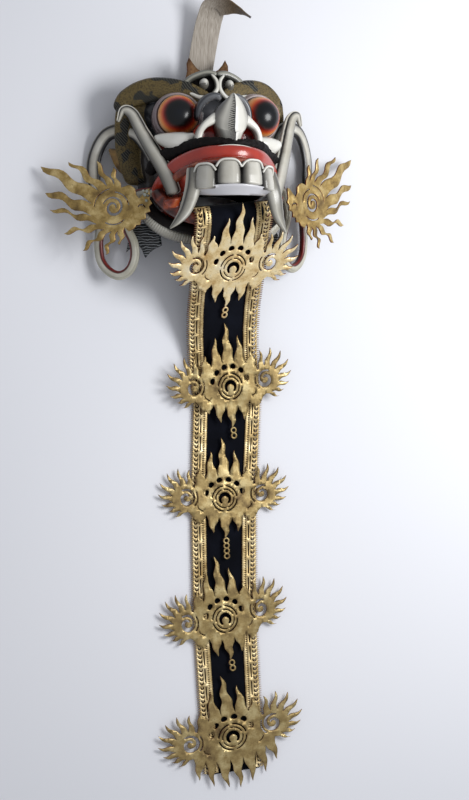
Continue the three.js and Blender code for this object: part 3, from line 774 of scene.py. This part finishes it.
def gumScallop(index):
    # a raised white arch over one tooth
    middle = teeth["step"] * (index - (teeth["count"] - 1) / 2)
    path = []
    for step in range(9):
        f = step / 8 * 2 - 1
        turn = radians(middle + f * teeth["step"] / 2)
        at = toothPlace(turn, teeth["arch"] + 10.2 - 2.2 * f * f)
        path.append((at.x, teeth["tops"][index] - 0.5 - 8.5 * abs(f) ** 3.5, at.z, 2.8, 3.6))
    out = (math.sin(radians(middle)), 0, math.cos(radians(middle)))
    return sweep(path, along=28, around=14, facing=out)


def gums():
    return egg((0, -18, teeth["z"]), (52, 10, 50), along=28, around=56)


def palate():
    # the flat pale underside of the upper jaw, sloping in from the teeth's edges
    def place(u, t):
        x, y = oval(u, t)
        r = lerp(30, 55.5, u)
        slant = 14.0 * (1 - u) * max(0.0, y) + 4.5 * u * x * x
        return Vector((x * r, lerp(-52.5, -44.0, u) - slant, teeth["z"] + y * r))
    return wrapGrid(place, 8, 64)


crown = {
    "ball": (16.5, 92.5, 73), "ballSize": (5.8, 7.2, 8.5),
    # a band curling round the forehead's ball and out to a tail
    "scroll": [(8.5, 104.5, 76, 4, 8), (2.5, 96.5, 78, 6, 8), (2, 85.5, 80, 7, 8), (10.5, 76, 79, 7.5, 8),
               (23.5, 75, 76, 7, 8), (33.5, 79.5, 71, 5.5, 8), (41.5, 82.5, 66, 2.5, 8)],
    "arch": [(42.5, 86.5, 62, 3, 6), (38.5, 93.5, 64, 8, 8), (30.5, 100, 67, 9, 9), (20.5, 104.5, 70, 9, 9),
             (10.5, 106.5, 72, 9, 9), (0, 104.5, 73, 9, 9)],
}


def carvedParts():
    # every carved feature with the paint that it wears
    yield lipLacquer(), sweep(across(upperLip), along=110, around=36, section=boxy(2.4), blunt=0.03)
    yield lacquer["lowerLipLacquer"], sweep(across(lowerLip), along=90, around=32, blunt=0.03)
    yield lacquer["foldLacquer"], sweep(across(lipFold), along=90, around=24, blunt=0.03)
    yield soot, sweep(across(whiskers), along=160, around=36, relief=bristle, blunt=0.03)
    yield soot, sweep(across(chinBand), along=90, around=24, blunt=0.03)
    yield bone["whiskerGrey"], sweep(across(jaw), along=420, around=20, relief=jawRibs, blunt=0.03)
    yield lacquer["foldLacquer"], gums()
    yield bone["palateEnamel"], palate()
    for index in range(teeth["count"]):
        yield bone["toothEnamel"], incisor(index)
        yield rim, gumScallop(index)
    yield rim, bothSides(cheek)
    for make, paint in ((eyeLid, bone["lidEnamel"]), (eyeball, eyeEnamel())):
        yield paint, joined([make("right"), mirroredX(make("left"))])
    yield noseEnamel(), noseLeaf()
    yield rim, bothSides(nostrilRim)
    yield nostrilRed, bothSides(nostrilWell)
    yield bone["nightGrey"], bothSides(lambda: sweep(fold, along=36, around=24, blunt=0.1))
    for make, paint in ((browBand, gilding), (browFlange, gilding), (browLobe, lacquer["ochrePaint"])):
        yield paint, mirroredX(make("left"))
        yield paint, make("right")
    yield lacquer["cornerLacquer"], bothSides(lambda: sweep(socket, along=20, around=28, blunt=0.2))
    yield rim, sweep(across(lipLine), along=40, around=10, blunt=0.05)
    yield rim, egg((-15.5, 11.5, 126), (3.2, 3.2, 3.2), along=12, around=16)
    yield soot, egg((0, 92, 55), (36, 20, 19), along=24, around=36)
    yield rim, bothSides(lambda: egg(crown["ball"], crown["ballSize"], along=20, around=28))
    yield bone["scrollEnamel"], bothSides(lambda: sweep(crown["scroll"], along=48, around=24, blunt=0.08))
    yield bone["archGrey"], bothSides(lambda: sweep(crown["arch"], along=40, around=18, blunt=0.08))


def underFloor():
    # a block under the floor, so that nothing reaches below it
    size = 0.6
    bm = bmesh.new()
    bm.loops.layers.uv.new("paint")
    bmesh.ops.create_cube(bm, size=size)
    bmesh.ops.translate(bm, vec=home - Vector((0, 0, size / 2)), verts=bm.verts)
    return bm


def makeMask():
    mask = base
    hollow = toMesh(egg(*face["hollow"], along=40, around=56), "hollow", [wood])
    mouth = toMesh(egg(*face["mouth"], along=40, around=56), "mouth", [soot])
    for material, shape in carvedParts():
        cutOrJoin(mask, toMesh(shape, "carved", [material]), "UNION")
    cutOrJoin(mask, hollow, "DIFFERENCE")
    cutOrJoin(mask, mouth, "DIFFERENCE")
    cutOrJoin(mask, toMesh(underFloor(), "underFloor", [wood]), "DIFFERENCE")
    mask.data.validate()
    return mask


def settle(piece, node, slot):
    # the piece stands for a CAD node, and goes with the one body there is
    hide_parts(node)
    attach(piece, "root")
    return piece


mask = settle(makeMask(), "mask", "painted_wood")
print("mask carved", len(mask.data.polygons))

tusk = {
    "path": [(66, -50, 98, 18, 16), (75, -22, 92, 20, 17), (87, 8, 76, 19, 15), (98, 36, 60, 17, 14),
             (107, 59, 50, 15, 11), (117, 65, 45, 11, 8), (123, 52, 42, 4, 3)],
    "leftIn": 4.5, "leftDrop": 7,  # the left one stands nearer the nose and its tip curls lower
}
fang = [(46, -24, 134, 21, 13), (51, -48, 141, 20, 13), (58, -72, 136, 15.5, 11), (66, -85, 129, 9.5, 8),
        (74, -94, 122, 2, 2)]


def makeTusk(side):
    def grooved(u, t):
        # a groove beside a thin lip along the inner side
        return -1.3 * math.exp(-((t - 0.365) / 0.016) ** 2) + 0.6 * math.exp(-((t - 0.42) / 0.03) ** 2)
    path = tusk["path"]
    if side == "left":
        last = len(path) - 1
        path = [(x - tusk["leftIn"], y - tusk["leftDrop"] * i / last, z, w, d)
                for i, (x, y, z, w, d) in enumerate(path)]
    return sweep(path, along=90, around=56, relief=grooved, blunt=0.03)


def makeFang(side):
    def ridge(u, t):
        return 0.9 * math.exp(-((t - 0.2) / 0.03) ** 2) - 0.9 * math.exp(-((t - 0.4) / 0.02) ** 2)
    return sweep(fang, along=64, around=48, relief=ridge, blunt=0.02)


ear = {
    "left": (88, 3, 46), "right": (90, 18, 46), "lean": 34,
    "band": [(-16, -6), (-6, 12), (8, 28), (28, 34), (46, 30), (58, 16), (65, -4), (65, -24), (62, -46),
             (56, -78), (57, -94), (58, -110), (55, -128), (45, -141), (31, -147), (18, -141), (11, -126),
             (12, -108), (20, -90), (23, -74), (16, -58), (6, -46), (-16, -44)],
    "wide": 18, "loopWide": 12.5, "loopBelow": -30, "thick": 9,
}


def makeEar(side):
    # a gutter-shaped band, looped at the top and again below, leaning back
    x, y, z = ear[side]
    c, s = math.cos(radians(ear["lean"])), math.sin(radians(ear["lean"]))
    stations = [(x + u * c, y + v, z - u * s, ear["wide"] if v > ear["loopBelow"] else ear["loopWide"],
                 ear["thick"]) for u, v in ear["band"]]

    def gutter(u, t):
        groove = -1.6 * math.exp(-((t - 0.365) / 0.025) ** 2)
        return groove - 1.2 * math.exp(-((min(t, 1 - t)) / 0.09) ** 2) * (u > 0.4)
    return sweep(stations, along=220, around=40, section=boxy(2.3), facing=(s, 0, c), relief=gutter)


sidePieces = {  # how each is made, its paint and its slot
    "tusk": (makeTusk, bone["tuskEnamel"], "tusk_paint"),
    "fang": (makeFang, bone["fangEnamel"], "tusk_paint"),
    "ear": (makeEar, earPaint(), "ear_paint"),
}
for side in ("left", "right"):
    for name, (make, paint, slotName) in sidePieces.items():
        shape = mirroredX(make(side)) if side == "left" else make(side)
        settle(toMesh(shape, name + "Painted" + side.title(), [paint]), name + "_" + side, slotName)
print("tusks, fangs and ears made")


def flame(outline, tip, foot, sway=1.2, waves=1.5, steps=8, full=0.7):
    # one waving flame from where the outline stands, over its tip and down to its foot
    start = Vector(outline[-1])
    foot, tip = Vector(foot), Vector(tip)
    middle, half = (start + foot) / 2, (start - foot) / 2
    axis = tip - middle
    aside = Vector((-axis.y, axis.x)).normalized() * sway

    def flankPoint(t, sign):
        swing = math.sin(2 * math.pi * waves * t) * min(1, 3 * t)
        return middle.lerp(tip, t) + aside * swing + half * sign * (1 - t) ** full
    for i in range(1, steps + 1):
        outline.append(flankPoint(i / steps, 1))
    for i in range(1, steps + 1):
        outline.append(flankPoint(1 - i / steps, -1))


def onCircle(centre, angle, r):
    return Vector((centre[0] + r * math.cos(radians(angle)), centre[1] + r * math.sin(radians(angle))))


def ring(centre, r, sides=20, bite=0.0, biteAt=225):
    # a round hole, its edge pushed in on one side by bite
    points = []
    for i in range(sides):
        angle = 360 * i / sides
        near = max(0.0, math.cos(radians(angle - biteAt)))
        points.append(onCircle(centre, angle, r - bite * near * near))
    return points


def slot(centre, r, width, start, end, steps=10):
    # a curved slit round a centre
    outer = [onCircle(centre, lerp(start, end, i / steps), r + width / 2) for i in range(steps + 1)]
    inner = [onCircle(centre, lerp(end, start, i / steps), r - width / 2) for i in range(steps + 1)]
    return outer + inner


def curl(centre, r0, r1, turns, width, start, steps=30):
    # a slit curling inwards, widest in the middle
    def edge(i, out):
        t = i / steps
        r = lerp(r0, r1, t) + out * width * (0.35 + 0.65 * math.sin(math.pi * t)) / 2
        return onCircle(centre, start + 360 * turns * t, r)
    return [edge(i, 1) for i in range(steps + 1)] + [edge(steps - i, -1) for i in range(steps + 1)]


def filled(loops):
    # the flat sheet between an outline and its holes
    bm = bmesh.new()
    bm.loops.layers.uv.new("paint")
    for loop in loops:
        verts = [bm.verts.new((p[0], p[1], 0)) for p in loop]
        for a, b in zip(verts, verts[1:] + verts[:1]):
            bm.edges.new((a, b))
    bmesh.ops.triangle_fill(bm, use_beauty=True, edges=bm.edges[:], normal=(0, 0, 1))
    return bm


def sliced(bm, grid=5.0):
    # sliced both ways, so that it can bend
    for axis in (0, 1):
        low = min(v.co[axis] for v in bm.verts)
        high = max(v.co[axis] for v in bm.verts)
        for i in range(1, int((high - low) / grid) + 1):
            at, way = Vector(), Vector()
            at[axis], way[axis] = low + i * grid, 1
            whole = bm.verts[:] + bm.edges[:] + bm.faces[:]
            bmesh.ops.bisect_plane(bm, geom=whole, plane_co=at, plane_no=way, dist=1e-4)
    return bm


def thickened(bm, thick, place):
    # a plate of a flat sheet, its cut edges in the second paint, put where place(x, y, z) says in mm
    for f in bm.faces:
        if f.normal.z < 0:
            f.normal_flip()
    made = bmesh.ops.extrude_face_region(bm, geom=bm.faces[:], use_keep_orig=True)
    top = [g for g in made["geom"] if isinstance(g, bmesh.types.BMVert)]
    bmesh.ops.translate(bm, vec=(0, 0, thick), verts=top)
    bmesh.ops.recalc_face_normals(bm, faces=bm.faces)
    for f in bm.faces:
        f.material_index = 1 if abs(f.normal.z) < 0.5 else 0
    for vert in bm.verts:
        vert.co = home + Vector(place(*vert.co)) * mm
    return bm


def ripple(x, y, seed, high, size):
    # a gentle unevenness, in mm; the same seed always gives the same one
    return high * noise.noise(Vector((x / size, y / size, seed * 7.3)))


sunShape = {
    # each flame's tip, and the foot where it ends
    "top": [((0, 84), (9, 31)), ((17, 66), (25, 28)), ((34, 44), (41, 18))],
    "below": [((34, -32), (26, -20)), ((18, -45), (9, -24)), ((0, -54), (-9, -24))],
    "belowLast": [((50, -44), (38, -22)), ((34, -57), (25, -26)), ((16, -64), (8, -28)),
                  ((0, -68), (-8, -28))],
    # the side wings: a round body, with flames from one angle round through another
    "wing": (53, 4), "wingBody": 18, "wingFlames": 8, "wingFrom": 122, "wingTurn": -218,
    "thick": 1.6,
}


def sunOutline(isLast):
    below = sunShape["belowLast" if isLast else "below"]
    half = [Vector(sunShape["top"][0][1])]
    for tip, foot in sunShape["top"][1:]:
        flame(half, tip, foot, sway=1.4, waves=1.4, full=0.95)
    centre, body, start = sunShape["wing"], sunShape["wingBody"], sunShape["wingFrom"]
    half.append(onCircle(centre, start, body))
    count = sunShape["wingFlames"]
    step = sunShape["wingTurn"] / count
    for i in range(count):
        share = (i + 0.5) / count
        reach = 29.5 + 13.5 * math.sin(math.pi * min(1, share + 0.2))
        tip = onCircle(centre, 22 + 0.8 * (109 + step * (i + 0.5)), reach)
        flame(half, tip, onCircle(centre, start + step * (i + 1), body), sway=1.3, waves=1.1, steps=7)
    for tip, foot in below[:-1]:
        flame(half, tip, foot, sway=-1.2, waves=1.3, steps=7, full=0.95)
    # the middle flames cross the centre line, so they close the two halves
    whole = half[:]
    flame(whole, *below[-1], sway=1.3, waves=1.8, steps=9, full=0.95)
    whole += [Vector((-p.x, p.y)) for p in reversed(half[:-1])]
    flame(whole, *sunShape["top"][0], sway=1.5, waves=2.2, steps=14, full=0.85)
    return whole[:-1]


def sunHoles():
    # a crescent over a ball that hangs on to the sheet below
    first, last = -52, 232
    crescent = [onCircle((0, 1), lerp(first, last, i / 20), 8.6) for i in range(21)]
    crescent += [onCircle((0, -0.6), lerp(last, first, i / 16), 4.8) for i in range(17)]
    holes = [crescent]
    for r, width, turn in ((12.6, 1.3, 12), (17.2, 1.7, 0)):
        for quarter in range(4):
            start = turn + 90 * quarter + 7
            holes.append(slot((0, 1), r, width, start, start + 76, 9))
    for i in range(6):
        holes.append(ring(onCircle((0, 1), 20 + 28 * i, 25.6), 4.2, 14, bite=1.9, biteAt=200 + 28 * i))
    for side in (1, -1):
        spiral = curl((52, 5), 11.6, 3.2, 1.25, 5.2, 60)
        hook = slot((52, 5), 15.2, 1.7, 150, 228, 8)
        dash = slot((29.5, -6), 8, 1.3, -85, -12, 6)
        for hole in (spiral, hook, dash):
            holes.append([Vector((p.x * side, p.y)) for p in hole])
    return holes


suns = [
    {"along": 152, "aside": 4, "wide": 0.95, "long": 1.12, "turn": -3, "links": 2, "rise": 0, "tilt": 0},
    {"along": 324, "aside": 2, "wide": 0.94, "long": 1.0, "turn": 0, "links": 2, "rise": 8.4, "tilt": 6.8},
    {"along": 469, "aside": 0, "wide": 0.98, "long": 0.95, "turn": 2, "links": 4, "rise": 0, "tilt": 0},
    {"along": 625, "aside": -1, "wide": 0.97, "long": 1.0, "turn": 6, "links": 2, "rise": 0, "tilt": 0},
    {"along": 778, "aside": 0, "wide": 1.1, "long": 0.98, "turn": 7, "links": 0, "rise": 0, "tilt": 0},
]
wing = {
    "left": (137, -52, 58, 0, 30), "right": (137, -36, 58, 8, 30),  # x, y, z, turn and lean
    "middle": (-9, -13), "body": 28, "thick": 1.8, "longTip": 62,
    # the arm's end along its upper edge, then each flame's tip and the angle of its foot, then back
    "armAbove": [(-55, 10), (-51, 9), (-47, 3), (-42, -2), (-38, 3), (-37, 10), (-32, 14), (-28, 15)],
    "tips": [((-8, 37), 93), ((13, 45), 74), ((48, 47), 50), ((85, 43), 13), ((79, 10), -20),
             ((73, -11), -43), ((55, -41), -66), ((31, -63), -86), ((2, -69), -103), ((-18, -58), -122)],
    "armBelow": [(-29, -42), (-36, -38), (-38, -34), (-43, -34), (-44, -28), (-50, -27), (-50, -20),
                 (-56, -18), (-54, -12), (-58, -8), (-55, -3)],
    "beads": [(-53, 6, 2.2), (-54, 1, 1.8), (-50, 2, 2.4), (-52, -5, 2.0), (-48, 7, 1.6)],
}


def wingOutline():
    outline = [Vector(p) for p in wing["armAbove"]]
    outline.append(onCircle(wing["middle"], 112, 27))
    for tip, foot in wing["tips"]:
        end = onCircle(wing["middle"], foot, wing["body"])
        if Vector(tip).length > wing["longTip"]:
            flame(outline, tip, end, sway=2.6, waves=1.9, steps=14, full=0.42)
        else:
            flame(outline, tip, end, sway=2.0, waves=1.4, steps=9, full=0.42)
    return outline + [Vector(p) for p in wing["armBelow"]]


def makeWing(side):
    x, y, z, turn, lean = wing[side]
    put = (Matrix.Translation((x, y, z)) @ Matrix.Rotation(radians(lean), 4, "Y")
           @ Matrix.Rotation(radians(turn), 4, "Z"))
    middle = wing["middle"]
    holes = [curl((-9, -12), 13.5, 3, 1.5, 3.4, 20, steps=40), slot(middle, 20, 1.4, 95, 170, 12),
             slot(middle, 20, 1.4, 225, 300, 12), slot(middle, 24.5, 1.1, 5, 80, 12),
             slot((-45, -14), 4.5, 1.4, 20, 170, 6)]

    def place(px, py, pz):
        r = math.hypot(px, py)
        lift = -3.5 * (max(0, r - 30) / 60) ** 2 + ripple(px, py, 3 if side == "left" else 5, 1.6, 18)
        return put @ Vector((px, py, pz + lift))
    bm = thickened(sliced(filled([wingOutline()] + holes)), wing["thick"], place)
    if side == "right":
        return bm
    # small glass beads stuck on the end of the left wing's arm
    for px, py, r in wing["beads"]:
        bead = egg(put @ Vector((px, py, 2.6 + r)), (r, r, r), along=10, around=14)
        for f in bead.faces:
            f.material_index = 2
        bm = joined([bm, bead])
    return mirroredX(bm)


for side in ("left", "right"):
    piece = toMesh(makeWing(side), "flameWing" + side.title(), [gilt["oldGiltHide"], bole, glass])
    settle(piece, "flame_wing_" + side, "gilded_hide")

collar = {
    "at": (0, 98, 38), "lean": (-12, "X"), "seed": 9, "wave": (1.2, 12),
    "outline": [(0, 17), (8, 18), (14, 22), (20, 29), (24, 36), (27.5, 28), (27, 18), (30, 8), (31, 0)],
}
leaf = {  # a black leaf with two points, its edges drawn in
    "at": (68, -88, 34), "lean": (18, "Y"), "seed": 11, "wave": (1.4, 14),
    "outline": [(0, 10), (14, 10), (26, 8), (31, 2), (34, -9), (37, -27), (31, -21), (25, -19.5), (20, -19),
                (17, -24), (13, -34), (7, -27), (1, -22), (-8, -18), (-6, -4)],
}


def smallPlate(form, outline):
    # a plate of hide 2 mm thick that leans and waves a little
    angle, axis = form["lean"]
    put = Matrix.Translation(form["at"]) @ Matrix.Rotation(radians(angle), 4, axis)

    def place(x, y, z):
        return put @ Vector((x, y, z + ripple(x, y, form["seed"], *form["wave"])))
    return thickened(sliced(filled([outline])), 2.0, place)


half = collar["outline"]
piece = smallPlate(collar, [(-x, y) for x, y in half] + list(reversed(half[1:])))
settle(toMesh(piece, "crownCollar", [gilt["brownGiltHide"], bole]), "crown_collar", "gilded_hide")
for side in ("left", "right"):
    shape = smallPlate(leaf, leaf["outline"])
    shape = mirroredX(shape) if side == "left" else shape
    piece = toMesh(shape, "beardLeaf" + side.title(), [leafBlack, leafBlack])
    settle(piece, "beard_leaf_" + side, "black_hide")
print("wings, collar and leaves made")

# x, y, z, width and how far its width slants; it stands up from the crown and folds over
strap = [(-6, 86, 12, 34, -0.05), (-4, 110, 13, 34, -0.05), (-3, 128, 14, 34, -0.05),
         (3, 168, 18, 34, -0.05), (7, 190, 24, 33, -0.1), (10, 200, 34, 31, -0.45), (24, 199, 45, 26, -0.6),
         (38, 192, 53, 17, -0.6), (50, 184, 58, 3, -0.6)]
halfStrap = 1.1  # half its thickness


def makeStrap():
    def place(u, t):
        x, y, z, width, slant = spline(strap, u)
        run = runAt(strap, u)
        wide = Vector((1, slant, 0))
        wide = (wide - run * wide.dot(run)).normalized()
        a, b = boxy(7)(u, t)
        wave = ripple(a * 17, u * 120, 2, 0.9, 20)
        return Vector((x, y, z)) + wide * a * width / 2 + wide.cross(run) * (b * halfStrap + wave)
    return wrapGrid(place, 90, 48)


settle(toMesh(makeStrap(), "crestStrap", [rawHide()]), "crest_strap", "raw_hide")
print("strap made")

tongue = {
    "root": (7, -60, 46),
    # stretches of length, fall and swing aside in degrees, from the root in the mouth
    "folds": [(62, -90, 7), (7, -50, 7), (7, -10, 7), (7, 20, 7), (131.5, 38, 7), (34, 28, 7), (34, 18, 7),
              (34, 8, 7), (20, 0, 7), (126, 0, -2), (158, 0, 0.5), (152, 0, 3.5), (50, 0, 4)],
    "topHalf": 50, "endHalf": 41, "hem": 5, "cloth": 1.6, "gap": 0.35, "hide": 2.2,
    "flatTo": 90,  # it waves a little from here on
    "step": 0.5, "soften": 5,  # how finely its line is stepped, and how far a bend is spread
}


def heading(fall, swing):
    f, w = radians(fall), radians(swing)
    return Vector((math.sin(w) * math.cos(f), -math.cos(w) * math.cos(f), -math.sin(f)))


def tongueLine():
    # places along it, the bends softened over a few millimetres
    step = tongue["step"]
    falls, swings = [], []
    for length, fall, swing in tongue["folds"]:
        falls += [fall] * round(length / step)
        swings += [swing] * round(length / step)
    reach = round(tongue["soften"] / step)

    def soft(values, i):
        near = values[max(0, i - reach):i + reach + 1]
        return sum(near) / len(near)
    at = Vector(tongue["root"])
    line = [at.copy()]
    for i in range(len(falls)):
        at = at + heading(soft(falls, i), soft(swings, i)) * step
        line.append(at.copy())
    sink = Vector((0, 0, line[-1].z))
    softened = [soft(swings, min(i, len(falls) - 1)) for i in range(len(line))]
    return [p - sink for p in line], softened


line, swings = tongueLine()
tongueLength = (len(line) - 1) * tongue["step"]


def onTongue(x, along, z):
    # a place on the tongue: x across, along from its root, z above its underside
    at = min(max(along / tongue["step"], 0), len(line) - 1.001)
    i = int(at)
    middle = line[i].lerp(line[i + 1], at - i)
    ahead = line[min(i + 3, len(line) - 1)] - line[max(i - 2, 0)]
    wide = Vector((math.cos(radians(swings[i])), math.sin(radians(swings[i])), 0))
    up = ahead.normalized().cross(wide).normalized()
    return middle + wide * x + up * z


def halfAt(along):
    return lerp(tongue["topHalf"], tongue["endHalf"], along / tongueLength)


def makeCloth():
    def place(u, t):
        along = u * tongueLength
        edge = halfAt(along) - tongue["hem"]
        if t < 0.5:
            x, z = lerp(-edge, edge, 2 * t), tongue["cloth"]
        else:
            x, z = lerp(edge, -edge, 2 * t - 1), 0.0
        sag = ripple(x, along, 4, 0.5, 30) if along > tongue["flatTo"] else 0.0
        return onTongue(x, along, z + max(-z, min(0.3, sag)) * (z > 0))
    return wrapGrid(place, 260, 64)


border = {
    "pitch": 5.8, "cells": 4, "wide": 20, "thick": 1.6,
    "start": 66, "short": 2,  # where it starts along the tongue, and how far it stops before the end
}


def borderBlock(pitch):
    # one block of the border's cut-work: spikes outside, C-shaped cuts, a long slit, and a
    # beaded inner edge. x runs from the outer edge inwards, y along
    cells, wide = border["cells"], border["wide"]
    tall = pitch * cells
    outer = []
    for i in range(cells * 2):
        y = tall * i / (cells * 2)
        part = tall / (cells * 2)
        outer += [Vector((1.6, y)), Vector((1.2, y + part * 0.35)), Vector((-2.1, y + part * 0.62)),
                  Vector((1.3, y + part * 0.72))]
    inner = []
    for i in range(cells * 2 + 2):
        part = tall / (cells * 2 + 2)
        y = tall - part * i
        inner += [Vector((wide - 1.0, y)), Vector((wide + 0.1, y - part * 0.3)),
                  Vector((wide + 0.1, y - part * 0.7))]
    outline = outer + [Vector((1.6, tall))] + inner + [Vector((wide - 1.0, 0))]
    holes = []
    for i in range(cells):
        holes.append(slot((6.0, pitch * (i + 0.5)), 1.9, 1.5, -35, 215, 8))
    holes.append([Vector((10.4, tall * 0.08)), Vector((12.1, tall * 0.08)), Vector((12.1, tall * 0.86)),
                  Vector((10.4, tall * 0.86))])
    for i in range(cells * 2):
        holes.append(ring((15.6, tall * (i + 0.5) / (cells * 2)), 0.95, 6))
    return outline, holes


def makeBorder(side):
    # one block of cut-work repeated to fill the length
    run = tongueLength - border["short"] - border["start"]
    blocks = round(run / (border["pitch"] * border["cells"]))
    pitch = run / blocks / border["cells"]
    outline, holes = borderBlock(pitch)
    bm = filled([outline] + holes)
    first = bm.verts[:] + bm.edges[:] + bm.faces[:]
    for i in range(1, blocks):
        copy = bmesh.ops.duplicate(bm, geom=first)
        moved = [g for g in copy["geom"] if isinstance(g, bmesh.types.BMVert)]
        bmesh.ops.translate(bm, vec=(0, i * pitch * border["cells"], 0), verts=moved)
    bmesh.ops.remove_doubles(bm, verts=bm.verts, dist=0.01)

    def place(x, y, z):
        along = border["start"] + y
        lift = tongue["cloth"] + tongue["gap"] + z + 0.25 * abs(ripple(x, along, side + 2, 1.0, 9))
        return onTongue(side * (halfAt(along) - x), along, lift)
    return thickened(bm, border["thick"], place)


cloth = settle(toMesh(makeCloth(), "tongueCloth", [blackCloth()]), "tongue_cloth", "black_cloth")
for side, sign in (("left", -1), ("right", 1)):
    piece = toMesh(makeBorder(sign), "tongueBorder" + side.title(), [gilt["laceGiltHide"], bole])
    settle(piece, "tongue_border_" + side, "gilded_hide")
print("tongue and borders made")

# the small rings below a sun, measured from its middle
links = {"first": -56.5, "step": -7, "outer": 4.4, "inner": 2.4, "thick": 1.8}


def corners():
    # the straight stretches of the tongue that the stiff suns lie on
    at = Vector(tongue["root"])
    along = 0
    places = [(0, at.copy())]
    for length, fall, swing in tongue["folds"]:
        at = at + heading(fall, swing) * length
        along += length
        places.append((along, at.copy()))
    return places


def makeSun(number):
    sun = suns[number]
    places = corners()
    i = next(k for k, (along, _) in enumerate(places) if along > sun["along"])
    (before, a), (after, b) = places[i - 1], places[i]
    middle = a.lerp(b, (sun["along"] - before) / (after - before))
    back = (a - b).normalized()
    wide = Vector((back.y, -back.x, 0)).normalized()
    turned = Matrix((wide, back, wide.cross(back))).transposed().to_4x4()
    lift = tongue["cloth"] + tongue["hide"] + 2 * tongue["gap"] + sun["rise"]
    put = (Matrix.Translation(middle) @ turned @ Matrix.Translation((sun["aside"], 0, lift))
           @ Matrix.Rotation(radians(sun["tilt"]), 4, "X") @ Matrix.Rotation(radians(sun["turn"]), 4, "Z")
           @ Matrix.Diagonal((sun["wide"], sun["long"], 1, 1)))

    def place(x, y, z):
        r = math.hypot(x, y - 1)
        dome = 2.2 * max(0.0, 1 - (r / 21) ** 2)
        wave = ripple(x, y, number, 1.0, 24) + 0.7
        return put @ Vector((x, y, z + dome + max(0.0, wave)))
    isLast = number == len(suns) - 1
    parts = [thickened(sliced(filled([sunOutline(isLast)] + sunHoles())), sunShape["thick"], place)]
    for k in range(sun["links"]):
        at = (0, links["first"] + k * links["step"])
        rings = filled([ring(at, links["outer"], 20), ring(at, links["inner"], 14)])
        parts.append(thickened(rings, links["thick"], place))
    return joined(parts)


for number in range(len(suns)):
    gold = gilt["paintedLitGiltHide" if number == 0 else "giltHide"]  # the first is painted brightest, as painted light
    piece = toMesh(makeSun(number), "tongueSun%d" % (number + 1), [gold, bole])
    settle(piece, "tongue_sun_%d" % (number + 1), "gilded_hide")
print("suns made")


cam = {"distance": 2.0, "turn": 18.0, "aim": (0.05135, -0.0046, 0.0), "lens": 69.2}
lens = bpy.data.cameras.new("view")
camera = bpy.data.objects.new("view", lens)
bpy.context.collection.objects.link(camera)
bpy.context.scene.camera = camera
lens.lens = cam["lens"]
turn = radians(cam["turn"])
back = Vector((-math.sin(turn), 0, math.cos(turn)))
right = Vector((math.cos(turn), 0, math.sin(turn)))
up = Vector((0, 1, 0))
camera.matrix_world = (Matrix.Translation(Vector(cam["aim"]) + back * cam["distance"])
                       @ Matrix((right, up, back)).transposed().to_4x4())

bpy.ops.mesh.primitive_plane_add(size=60, location=(0, 0, 0))
floor = bpy.context.object
floor.name = "floor"
floor.data.materials.append(paleFloor)

studio = {"air": "#eef0f5", "airStrength": 0.53, "lampAt": (0.66, 0.28, 0.95), "lampAim": (0.3, 0.12, 0),
          "lampSize": 0.6, "lampPower": 11}
scene = bpy.context.scene
scene.view_settings.view_transform = "Standard"
world = bpy.data.worlds.new("studio")
scene.world = world
world.use_nodes = True
sky = world.node_tree.nodes["Background"]
sky.inputs["Color"].default_value = linear(studio["air"])
sky.inputs["Strength"].default_value = studio["airStrength"]

# one round soft lamp, up to the right
data = bpy.data.lights.new("key", "AREA")
data.shape = "ELLIPSE"
data.size = data.size_y = studio["lampSize"]
data.energy = studio["lampPower"]
lamp = bpy.data.objects.new("key", data)
bpy.context.collection.objects.link(lamp)
lamp.location = studio["lampAt"]
lamp.rotation_euler = (Vector(studio["lampAim"]) - lamp.location).to_track_quat("-Z", "Y").to_euler()
print("camera, floor and light set")
